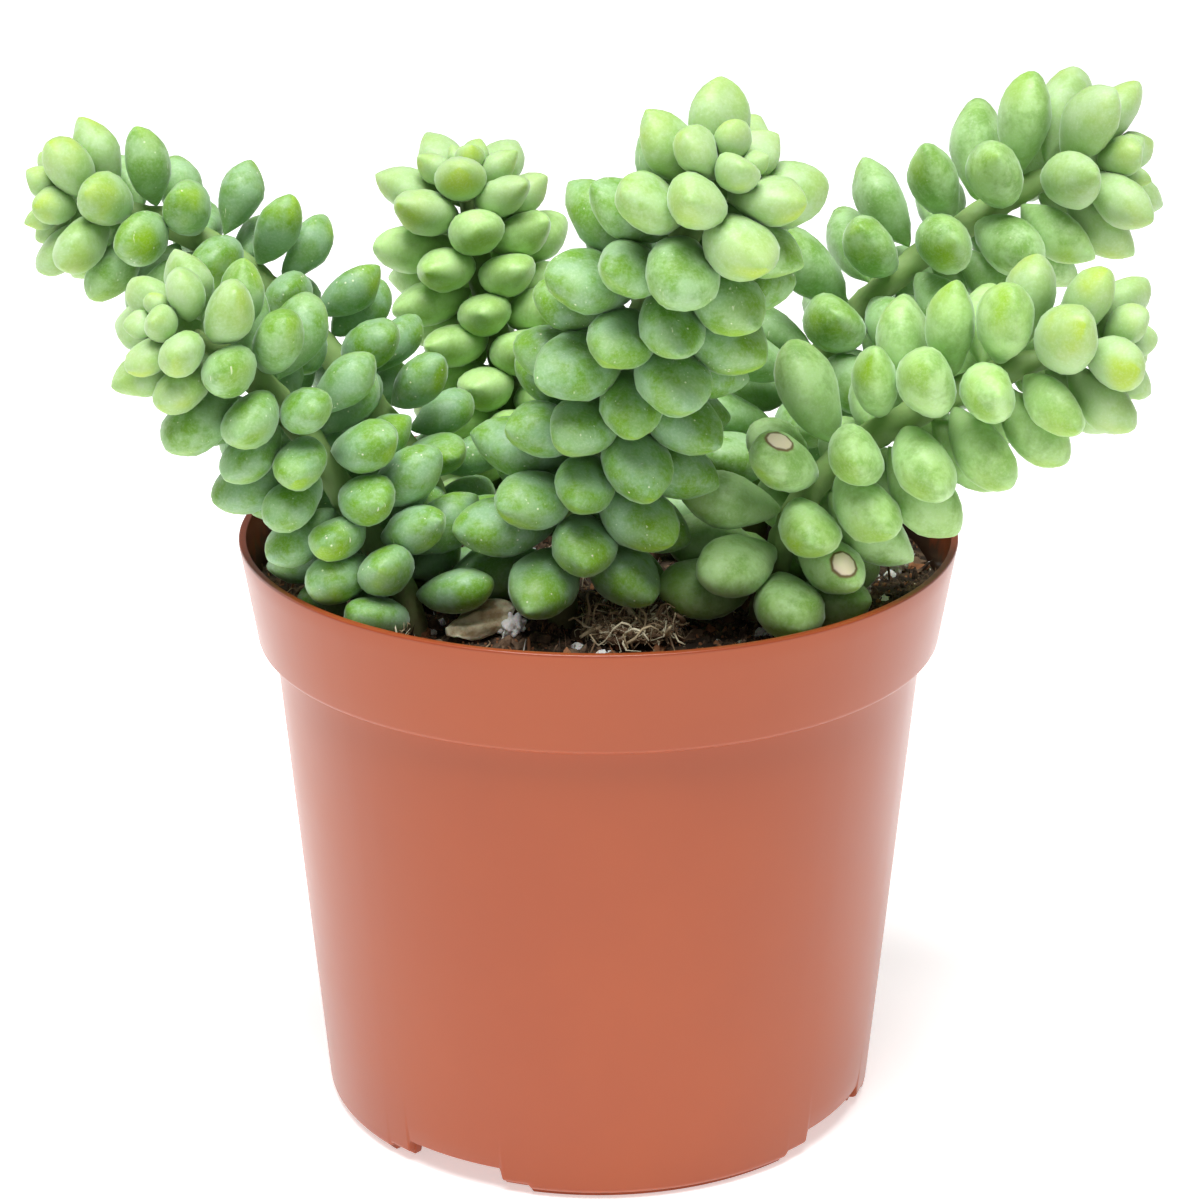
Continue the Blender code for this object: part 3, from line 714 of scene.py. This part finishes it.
# The leaves: plump waxy drops set round each stem in a tight spiral, small and upright at the tip,
# full-grown and spread lower down. They press on each other, on the rim and on the mix.
GOLDEN_ANGLE = math.radians(137.508)
LEAF_ROOT = 2.1
LEAF_THICKNESS = 0.86
LEAF_ABOVE = MIX_TOP + 2.0
TIP_CROWDING = 8.0
YOUNG_SIZE = 0.62
YOUNG_SPAN = 5.0
YOUNG_SHAPE = 1.3
OLD_LEAN = 80.0
LEAN_LOST = ((44.0, 6.0), (24.0, 24.0))
DROOP = 0.42
TIP_LEAVES = 13
BALLS = ((0.36, 0.80), (0.58, 1.0), (0.80, 0.82))
SETTLING_STEPS = 60
SETTLING_GAIN = 0.35
SETTLING_SPRING = 0.04
JITTER = 0.16
PRESS_SOFTENING = 3
PRESS_GAP = 0.04
PRESS_LIMIT = 2.0
LEAF_MIDDLE = 0.54
AGEING = 16
SOIL_CLEARANCE = 1.6
random.seed(11)


def planned_leaves(name):
    """The leaves of one shoot from the tip back, each with its place and direction."""
    shoot, frames = SHOOTS[name], shoot_frames[name]
    grown_length, grown_width = shoot["leaf"]
    reach = (len(frames) - 1) * ROUTE_STEP
    leaves = []
    for index in range(999):
        back = shoot["pitch"] * index ** 2 / (index + TIP_CROWDING)
        place, along, side, other = frames[max(0, round((reach - back) / ROUTE_STEP))]
        if place.z < LEAF_ABOVE + shoot.get("bare", 0.0) or back > reach:
            return leaves
        size = 1 - YOUNG_SIZE * math.exp(-(index / YOUNG_SPAN) ** YOUNG_SHAPE)
        lean = math.radians(OLD_LEAN - sum(lost * math.exp(-index / span) for lost, span in LEAN_LOST))
        bearing = math.radians(shoot["bearing"]) + index * GOLDEN_ANGLE
        outward = math.cos(bearing) * side + math.sin(bearing) * other
        wobble = Vector([random.uniform(-JITTER, JITTER) for _ in range(3)])
        age = 1 - math.exp(-index / AGEING)
        wobble.z -= DROOP * age ** 2
        pointing = (math.cos(lean) * along + math.sin(lean) * outward + wobble).normalized()
        vigour = random.uniform(0.9, 1.08)
        leaves.append(Leaf(
            shoot=name, root=place + outward * min(LEAF_ROOT, 0.3 + back / 2), aim=pointing, along=along,
            length=grown_length * size * vigour,
            width=grown_width * (0.12 + 0.87 * size) * vigour * random.uniform(0.94, 1.04),
            # Painted light: for some shoots the age is lowered here, so their wax is painted paler than
            # their place on the stem gives.
            age=age * (1 - shoot.get("painted_light_youth", 0.0)), tone=random.random(),
            shape=random.randrange(3) + 3 * (random.random() < shoot["pointed"])))


def rim_push(centres, radii):
    """How each ball is pushed off the pot's rim and wall."""
    away = np.hypot(centres[:, 0], centres[:, 1])
    wall = RIM_RADIUS - POT_WALL / 2
    nearest = np.stack([centres[:, 0] * wall / away, centres[:, 1] * wall / away,
                        np.minimum(centres[:, 2], POT_HEIGHT)], axis=1)
    gap = centres - nearest
    distance = np.linalg.norm(gap, axis=1)
    depth = np.clip(radii + POT_WALL / 2 + 0.2 - distance, 0, None)
    return gap / np.maximum(distance, 0.01)[:, None] * depth[:, None]


def settled(leaves):
    """The leaves turned at their necks until they press as little as they can on each other and the pot."""
    roots = np.array([leaf.root for leaf in leaves])
    aims = np.array([leaf.aim for leaf in leaves])
    planned = aims.copy()
    lengths = np.array([leaf.length for leaf in leaves])
    shares = np.array([share for share, _ in BALLS])
    girths = np.array([girth for _, girth in BALLS])
    radii = (np.array([leaf.width for leaf in leaves])[:, None] / 2 * 0.93 * girths).reshape(-1)
    owner = np.repeat(np.arange(len(leaves)), len(BALLS))
    others = owner[:, None] != owner[None]
    soil = MIX_TOP + SOIL_CLEARANCE
    for _ in range(SETTLING_STEPS):
        centres = (roots[:, None] + aims[:, None] * (lengths[:, None] * shares)[..., None]).reshape(-1, 3)
        gaps = centres[:, None] - centres[None]
        distance = np.linalg.norm(gaps, axis=2)
        depth = np.clip(radii[:, None] + radii[None] - distance, 0, None) * others
        push = (gaps / np.maximum(distance, 0.01)[..., None] * depth[..., None]).sum(axis=1)
        push += 2 * rim_push(centres, radii)
        push[:, 2] += 2 * np.clip(soil + radii - centres[:, 2], 0, None)
        turning = (push.reshape(-1, len(BALLS), 3) * shares[None, :, None]).sum(axis=1) / lengths[:, None]
        aims = aims + SETTLING_GAIN * turning + SETTLING_SPRING * (planned - aims)
        aims /= np.linalg.norm(aims, axis=1)[:, None]
    for leaf, aim_at in zip(leaves, aims):
        leaf.aim = Vector(aim_at)
    return leaves


BLADE_SIDES = 20
BLADE_RINGS = 15


def leaf_swell(share, widest, sharpness):
    return max(0.0, math.sin(math.pi * share ** widest)) ** sharpness


def leaf_blade(name, widest, sharpness, flat, keel, curl, sideways):
    """One leaf along +Z from its neck, a unit long and wide, its upper face towards +Y."""
    rings, along, around = [], [], []
    for row in range(BLADE_RINGS):
        share = 0.5 - 0.5 * math.cos(math.pi * (row + 0.35) / (BLADE_RINGS - 0.3))
        half = 0.5 * leaf_swell(share, widest, sharpness)
        ring = []
        for number in range(BLADE_SIDES):
            turn = 2 * math.pi * number / BLADE_SIDES
            x, y = half * math.cos(turn), half * math.sin(turn)
            y *= 1 - flat * max(0.0, math.sin(turn))
            ridge = keel * max(0.0, -math.sin(turn)) ** 3 * eased((share - 0.45) * 2.2)
            corners = 1 + 0.03 * math.cos(3 * turn + 26 * sideways) * eased(3 * share)
            ring.append((x * corners * (1 - ridge) + sideways * share ** 2,
                         y * corners * (1 + ridge * 0.4) + curl * share ** 2, share))
            along.append(share)
            around.append(max(0.0, -math.sin(turn)))
        rings.append(ring)
    blade = loose_shape(name, *skin(rings))
    carry(blade, "along", along)
    carry(blade, "outer", around)
    return blade


BLADES = (
    (1.30, 0.52, 0.16, 0.06, 0.05, 0.00), (1.38, 0.58, 0.10, 0.10, 0.08, 0.02),
    (1.25, 0.62, 0.20, 0.04, 0.03, -0.02), (1.18, 0.66, 0.20, 0.14, 0.06, -0.03),
    (1.12, 0.72, 0.24, 0.18, 0.09, 0.02), (1.22, 0.76, 0.16, 0.22, 0.05, 0.01),
)
blades = shape_collection("leaf_blades", [
    leaf_blade(f"blade_{k}", *shape) for k, shape in enumerate(BLADES)])


def leaf_tree():
    """Sets a blade on each point with the point's own turn and size, then dents the skin a little."""
    g = Growth("leaves_on_points", Blades="Collection", Lump_Scale="Float", Lump_Depth="Float",
               Material="Material")
    placed = g.spread(g.given["Geometry"], g.given["Blades"], g.named("shape", "INT"),
                      g.named("turn", "QUATERNION"), g.named("size", "FLOAT_VECTOR"))
    lumps = g.noise(g.made("GeometryNodeInputPosition"), g.given["Lump_Scale"], 2.0)
    depth = g.times(g.maths("SUBTRACT", lumps, 0.5), g.given["Lump_Depth"])
    return g.ends(placed, g.vectors("SCALE", g.made("GeometryNodeInputNormal"), depth))


def leaf_axes(leaf):
    """A leaf's sideways, upper and lengthways directions."""
    upper = (leaf.along - leaf.aim * leaf.along.dot(leaf.aim)).normalized()
    return upper.cross(leaf.aim), upper, leaf.aim


def leaf_points(name, leaves):
    """One point a leaf, carrying its turn, size and character."""
    points = new_piece(name, [leaf.root for leaf in leaves], [])
    turns, sizes = [], []
    for leaf in leaves:
        turns += Matrix(leaf_axes(leaf)).transposed().to_quaternion()[:]
        sizes += [leaf.width * MM, leaf.width * LEAF_THICKNESS * MM, leaf.length * MM]
    carry(points, "turn", turns, "QUATERNION")
    carry(points, "size", sizes, "FLOAT_VECTOR", "vector")
    for key, kind in (("shape", "INT"), ("age", "FLOAT"), ("tone", "FLOAT")):
        carry(points, key, [getattr(leaf, key) for leaf in leaves], kind)
    return points


def corners_of(piece):
    """A piece's corners in millimetres from the pot's axis, one a row."""
    places = np.empty(len(piece.data.vertices) * 3)
    piece.data.vertices.foreach_get("co", places)
    return (places.reshape(-1, 3) - np.array(POT_AXIS)) / MM


def ellipsoid_of(leaf):
    """A leaf's middle, its axes as columns and its half sizes."""
    axes = leaf_axes(leaf)
    middle = leaf.root + leaf.aim * leaf.length * LEAF_MIDDLE + axes[1] * leaf.width * 0.02
    halves = (leaf.width / 2, leaf.width / 2 * LEAF_THICKNESS * 0.92, leaf.length * 0.47)
    return np.array(middle), np.array(axes).T, np.array(halves)


def softened(dents):
    """Dents in a blade's skin, evened out between neighbouring rings and sides."""
    for _ in range(PRESS_SOFTENING):
        rows = (np.concatenate([dents[:1], dents[:-1]]) + np.concatenate([dents[1:], dents[-1:]])) / 2
        sides = (np.roll(dents, 1, axis=1) + np.roll(dents, -1, axis=1)) / 2
        dents = dents / 2 + rows / 4 + sides / 4
    return dents


def pressed(piece, leaves, neighbours):
    """Flattens each leaf's skin where a neighbouring leaf presses on it, half way for each."""
    count = BLADE_SIDES * BLADE_RINGS
    places = corners_of(piece).reshape(-1, count, 3)
    ellipsoids = [ellipsoid_of(leaf) for leaf in neighbours]
    for number, leaf in enumerate(leaves):
        own = np.array(leaf.root + leaf.aim * leaf.length * LEAF_MIDDLE)
        moved = np.zeros((count, 3))
        for other, (middle, axes, halves) in zip(neighbours, ellipsoids):
            if other is leaf or np.linalg.norm(own - middle) > (leaf.length + other.length) / 2:
                continue
            local = (places[number] - middle) @ axes
            inside = np.maximum(np.linalg.norm(local / halves, axis=1), 0.2)
            depth = np.linalg.norm(local, axis=1) * (1 / inside - 1) + PRESS_GAP
            outward = local / halves ** 2
            outward /= np.maximum(np.linalg.norm(outward, axis=1), 1e-6)[:, None]
            moved += (outward * (0.5 * np.clip(depth, 0, PRESS_LIMIT))[:, None]) @ axes.T
        places[number] += softened(moved.reshape(BLADE_RINGS, BLADE_SIDES, 3)).reshape(count, 3)
    places = places.reshape(-1) * MM + np.tile(np.array(POT_AXIS), len(leaves) * count)
    piece.data.vertices.foreach_set("co", places)
    piece.data.update()


PALE_FILM = (0.72, 0.82, 0.66, 1)
PALE_SPECK = (0.80, 0.84, 0.62, 1)
SCAR_RING = (0.16, 0.11, 0.04, 1)
SCAR_HEART = (0.74, 0.66, 0.48, 1)


def skin_group():
    """The waxy skin's colour and its grain, from age, tone and the place along the leaf."""
    group = bpy.data.node_groups.new("waxy_skin", "ShaderNodeTree")
    given = {"Place": "Vector", **dict.fromkeys(("Along", "Outer", "Age", "Tone", "Scar"), "Float")}
    given |= dict.fromkeys(("Bloom Old", "Bloom Young", "Flesh", "Patch"), "Color")
    for way, labels in (("INPUT", given), ("OUTPUT", {"Color": "Color", "Height": "Float"})):
        for label, kind in labels.items():
            group.interface.new_socket(label, in_out=way, socket_type=f"NodeSocket{kind}")
    n, g = Nodes(group), group.nodes.new("NodeGroupInput").outputs
    result = group.nodes.new("NodeGroupOutput").inputs
    where = g["Place"]
    bloom = n.blend(n.ramp(g["Age"], 0.1, 0.95), g["Bloom Young"], g["Bloom Old"])
    worn = n.plus(n.times(n.noise(where, 240.0), 0.7), n.times(n.noise(where, 900.0, 4.0, 0.65), 0.3))
    rubbed = n.times(n.ramp(worn, 0.40, 0.62), n.ramp(g["Along"], 0.25, 0.8, 0.55, 1.0))
    rubbed = n.times(rubbed, n.ramp(g["Age"], 0.0, 0.8, 0.4, 1.0))
    colour = n.blend(rubbed, bloom, g["Flesh"])
    near_tip = n.times(n.ramp(g["Along"], 0.60, 0.86), n.ramp(g["Outer"], 0.15, 0.8, 0.35, 1.0))
    near_tip = n.times(near_tip, n.ramp(n.noise(where, 160.0, 2.0), 0.3, 0.62))
    near_tip = n.times(near_tip, n.ramp(g["Tone"], 0.0, 1.0, 0.45, 1.0))
    colour = n.blend(near_tip, colour, g["Patch"])
    fine = n.noise(where, 2600.0, 3.0, 0.7)
    colour = n.blend(n.ramp(fine, 0.40, 0.75, 0.0, 0.16), colour, PALE_FILM)
    specks = n.ramp(n.made("ShaderNodeTexVoronoi", Vector=where, Scale=800.0), 0.15, 0.08)
    specks = n.times(specks, n.ramp(n.noise(where, 330.0, 1.0), 0.54, 0.62))
    stretched = n.made("ShaderNodeMapping", Vector=where, Rotation=(0.4, 0.7, 0.2), Scale=(1, 1, 0.16))
    scratch = n.ramp(n.noise(stretched, 2300.0, 1.0), 0.70, 0.76)
    scratch = n.times(scratch, n.ramp(n.noise(where, 210.0, 1.0), 0.54, 0.64))
    specks = n.times(n.maths("MAXIMUM", specks, scratch), n.ramp(g["Age"], 0.3, 0.8, 0.1, 0.85))
    colour = n.blend(specks, colour, PALE_SPECK)
    colour = n.blend(n.ramp(g["Scar"], 0.34, 0.44), colour, SCAR_RING)
    n.feed(result["Color"], n.blend(n.ramp(g["Scar"], 0.46, 0.54), colour, SCAR_HEART))
    relief = n.plus(n.times(fine, 0.25), n.noise(where, 480.0))
    n.feed(result["Height"], n.plus(relief, n.times(specks, 0.6)))
    return group


waxy_skin = skin_group()
SCARS = ((24.6, -31.7, 111.9), (33.7, -33.4, 94.8))
SCAR_REACH = 3.6


def heal_scars(piece):
    """Stores how near each corner of the skin lies to an old healed scar."""
    gaps = [np.linalg.norm(corners_of(piece) - np.array(scar), axis=1) for scar in SCARS]
    carry(piece, "scar", np.maximum(1 - np.min(gaps, axis=0) / SCAR_REACH, 0.0))


def leaf_material(name, bloom_young, bloom_old, flesh, patch):
    made, n, where = new_material(
        name, Subsurface_Weight=0.35, Subsurface_Scale=2.2 * MM, Subsurface_Radius=(0.55, 1.0, 0.25),
        Specular_IOR_Level=0.42, Sheen_Weight=0.42, Sheen_Roughness=0.3, Sheen_Tint=(0.85, 1.0, 0.88, 1))
    marks = {key.capitalize(): n.mark(key) for key in ("along", "outer", "age", "tone", "scar")}
    wax = n.put("ShaderNodeGroup", {"node_tree": waxy_skin}, Place=where, Bloom_Young=bloom_young,
                Bloom_Old=bloom_old, Flesh=flesh, Patch=patch, **marks).outputs
    n.surface(wax["Color"], n.ramp(n.noise(where, 300.0), 0.3, 0.7, 0.42, 0.6), wax["Height"], 0.3, 0.12)
    return made


LEAF_LUMP_SCALE = 170.0
LEAF_LUMP_DEPTH = 1.25 * MM
leaf_wax = leaf_material("leaf_wax", (0.47, 0.70, 0.28, 1), (0.25, 0.43, 0.23, 1),
                         (0.130, 0.31, 0.014, 1), (0.28, 0.49, 0.010, 1))
young_wax = leaf_material("young_leaf_wax", (0.42, 0.59, 0.29, 1), (0.36, 0.55, 0.25, 1),
                          (0.25, 0.45, 0.07, 1), (0.40, 0.56, 0.050, 1))
grow_leaves = leaf_tree()
every_leaf = settled([leaf for name in SHOOTS for leaf in planned_leaves(name)])


def grown(name, leaves, finish):
    """A piece with a blade for each leaf."""
    return grow_leaves.run(leaf_points(name, leaves), Blades=blades, Lump_Scale=LEAF_LUMP_SCALE,
                           Lump_Depth=LEAF_LUMP_DEPTH, Material=finish)


for name in SHOOTS:
    mine = [leaf for leaf in every_leaf if leaf.shoot == name]
    for label, finish, slot, kind, share in (
            (f"{name}_rosette", young_wax, "young_leaf", f"{name}_tip", mine[:TIP_LEAVES]),
            (f"{name}_foliage", leaf_wax, "leaf", f"{name}_leaves", mine[TIP_LEAVES:])):
        foliage = grown(label, share, finish)
        pressed(foliage, share, every_leaf)
        heal_scars(foliage)
        foliage.data.shade_smooth()
        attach(foliage, "root")
        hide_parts(*[node for node in frame["nodes"] if node.startswith(kind)])


# Dropped leaves: full-grown leaves that have come off and lie on the mix, still fresh. They have the
# same blades and wax as the leaves on the shoots, each turned to a bearing of its own.
FALLEN_BEARINGS = {"fallen_leaf_1": 165, "fallen_leaf_2": 190, "fallen_leaf_3": 95}
FALLEN_DIP = 0.06


def box_in_mm(node):
    """The middle of a node's box, measured from the pot's axis, and the box's sides, in millimetres."""
    low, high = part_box(node)
    return ((low + high) / 2 - POT_AXIS) / MM, (high - low) / MM


fallen = []
for number, (node, bearing) in enumerate(FALLEN_BEARINGS.items()):
    middle, sides = box_in_mm(node)
    turn = math.radians(bearing)
    aim_at = Vector((math.cos(turn), math.sin(turn), -FALLEN_DIP)).normalized()
    length = (sides.to_2d().length + 1.0) * 0.86
    fallen.append(Leaf(root=middle - aim_at * length * 0.5, aim=aim_at, along=Vector((0.1, 0.1, 1)),
                       length=length, width=sides.z * 1.08, age=0.9, tone=0.3 + 0.3 * number, shape=number))
lying = grown("fallen_leaves", fallen, leaf_wax)
lying.data.shade_smooth()
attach(lying, "root")
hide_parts(*FALLEN_BEARINGS)


# The dry leaf: the empty skin of a dead leaf, a brittle curled sheet with a pale edge. It lies tipped
# on the mix at the front of the pot.
HUSK_BEARING = 20
HUSK_SIZE = (10.0, 5.0)
HUSK_CURL = -1.3
HUSK_TWIST = 0.6
HUSK_FOLD = 0.45
HUSK_FOLDS = 7.5
HUSK_GRID = (36, 20)
HUSK_THICKNESS = 0.22
HUSK_SHIFT = Vector((3.0, 1.0, 1.8))
HUSK_TIPS = (0.75, -0.25)
HUSK_STRAW = (0.72, 0.65, 0.44, 1)
HUSK_BROWN = (0.40, 0.30, 0.16, 1)
HUSK_EDGE = (0.86, 0.82, 0.62, 1)

points, faces, edge = [], [], []
for row in range(HUSK_GRID[0] + 1):
    for column in range(HUSK_GRID[1] + 1):
        u, v = 2 * row / HUSK_GRID[0] - 1, 2 * column / HUSK_GRID[1] - 1
        half = HUSK_SIZE[1] / 2 * max(0.03, (1 - abs(u) ** 2.2)) ** 0.6
        x, y = HUSK_SIZE[0] / 2 * u, half * v
        wrinkle = 0.5 * noise.fractal(Vector((x / 3, y, 4.0)) / 1.2, 1.0, 2.0, 3)
        wrinkle += HUSK_FOLD * math.sin(HUSK_FOLDS * v + 1.5 * u) * (1 - abs(u))
        lift = HUSK_CURL * (v * v * 0.8 + 0.28 * u * u) + wrinkle
        twist = HUSK_TWIST * u
        points.append(Vector((x, y * math.cos(twist) - lift * math.sin(twist),
                              y * math.sin(twist) + lift * math.cos(twist) + 0.8)))
        edge.append(max(abs(v), abs(u)) ** 6)
        if row and column:
            at, wide = len(points) - 1, HUSK_GRID[1] + 1
            faces.append((at - wide - 1, at - 1, at, at - wide))
set_down = Matrix.Translation(box_in_mm("dry_leaf")[0] + HUSK_SHIFT)
for turn, axis in ((math.radians(HUSK_BEARING), "Z"), (HUSK_TIPS[0], "X"), (HUSK_TIPS[1], "Y")):
    set_down = set_down @ Matrix.Rotation(turn, 4, axis)
husk = new_piece("dry_leaf_skin", [set_down @ point for point in points], faces, smooth_angle=80)
carry(husk, "edge", edge)
shell = husk.modifiers.new("skin_thickness", "SOLIDIFY")
shell.thickness, shell.offset = HUSK_THICKNESS * MM, 0.0
as_plain_mesh(husk)
husk_skin, n, where = new_material("husk_skin", Subsurface_Weight=0.2, Subsurface_Scale=0.6 * MM)
shade = n.blend(n.ramp(n.noise(where, 500.0, 5.0, 0.65), 0.35, 0.65), HUSK_STRAW, HUSK_BROWN)
shade = n.blend(n.ramp(n.mark("edge"), 0.35, 0.9), shade, HUSK_EDGE)
n.surface(shade, n.ramp(n.noise(where, 900.0), 0.3, 0.7, 0.5, 0.8), n.noise(where, 1400.0, 4.0), 0.6, 0.2)
husk.data.materials.clear()
husk.data.materials.append(husk_skin)
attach(husk, "root")
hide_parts("dry_leaf")


# The bark fibres: a tuft of coarse peat and straw pulled loose from the mix, with more strands lying
# singly over the surface.
FIBRE_STRAW = (0.70, 0.57, 0.36, 1)
FIBRE_BROWN = (0.24, 0.150, 0.088, 1)
FIBRE_PALE = (0.84, 0.77, 0.56, 1)
TUFT_STRANDS = 650
LOOSE_STRANDS = 220
SMALL_TUFT_STRANDS = 130
TUFT_SINK = 0.45
STRAND_SHAPES = ((0.030, 0.5), (0.038, 0.8), (0.024, 1.1), (0.055, 0.3),
                 (0.034, 0.2), (0.040, 0.6), (0.022, 0.9), (0.075, 0.15))
TWIG_FOOT = Vector((-32.5, -32.5, 81.5))
TWIG_LEAN = Vector((-0.35, 0.25, 1.2))
TWIG_HALF = (0.28, 0.2)
TWIG_TONE = 0.95

fibre, n, where = new_material("dry_fibre", Specular_IOR_Level=0.3)
tone = n.mark("tone")
streaks = n.ramp(n.plus(tone, n.times(n.noise(where, 400.0), 0.3)), 0.35, 0.95)
shade = n.blend(n.ramp(tone, 0.74, 0.84), n.blend(streaks, FIBRE_BROWN, FIBRE_STRAW), FIBRE_PALE)
n.surface(shade, n.ramp(n.noise(where, 900.0), 0.3, 0.7, 0.6, 0.9), n.noise(where, 2500.0), 0.5, 0.1)


def strand(name, seed, thickness, bend):
    """A bent strand a millimetre long about the origin, along X, in metres."""
    rings = []
    for step in range(7):
        share = step / 6 - 0.5
        drift = Vector((seed, 5.0, share * 2))
        place = Vector((share, bend * noise.noise(drift), bend * noise.noise(drift + Vector((9, 0, 0)))))
        size = thickness * (1.05 - abs(share) * 1.2)
        rings.append([place + Vector((0, math.cos(t) * size, math.sin(t) * size))
                      for t in (math.tau * side / 5 for side in range(5))])
    points, faces = skin(rings)
    return loose_shape(name, [point * MM for point in points], faces)


strands = shape_collection("strand_shapes", [
    strand(f"strand_{k}", 3.7 * k, thickness, bend) for k, (thickness, bend) in enumerate(STRAND_SHAPES)])


def fibre_lump(name, middle, half, count, longest, seed):
    """A fuzzy lump: a rough core with strands all over its top."""
    core = lumpy_ball(f"{name}_core", 1.0, 4, 0.55, 0.35, seed)
    scene.collection.objects.link(core)
    for corner in core.data.vertices:
        corner.co = POT_AXIS + Vector([c * h + m * MM for c, h, m in zip(corner.co, half, middle)])
    core.data.shade_smooth()
    core.data.materials.append(fibre)
    return [core, strewn(core, name, strands, count, (1.8, longest), seed, fibre, tilt=0.7)]


tuft_middle, tuft_sides = box_in_mm("bark_fibres")
tuft_half = tuft_sides / 2
tuft_middle.z -= tuft_half.z * TUFT_SINK
litter = fibre_lump("fibre_tuft", tuft_middle, tuft_half, TUFT_STRANDS, 7.5, 21)
litter += fibre_lump("rim_tuft", (-30.0, -32.5, 84.4), (2.6, 1.6, 2.2), SMALL_TUFT_STRANDS, 4.5, 25)
litter += fibre_lump("root_tuft", (-13.5, -20.5, 83.4), (3.4, 2.2, 2.0), SMALL_TUFT_STRANDS, 3.6, 27)
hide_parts("bark_fibres")

twig_rings = []
for rise in (0, 2, 4, 6, 7.5):
    ring = round_ring(1.0, 0.0, 8)
    twig_rings.append([TWIG_FOOT + TWIG_LEAN * rise + Vector((x * TWIG_HALF[0], y * TWIG_HALF[1], 0))
                       for x, y, _ in ring])
twig = new_piece("rim_twig", *skin(twig_rings))
twig.data.materials.append(fibre)
carry(twig, "tone", [TWIG_TONE] * len(twig.data.vertices))
loose = strewn(bed, "loose_strands", strands, LOOSE_STRANDS, (1.5, 6.0), 23, fibre, tilt=0.22)
for piece in (*litter, twig, loose):
    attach(piece, "root")
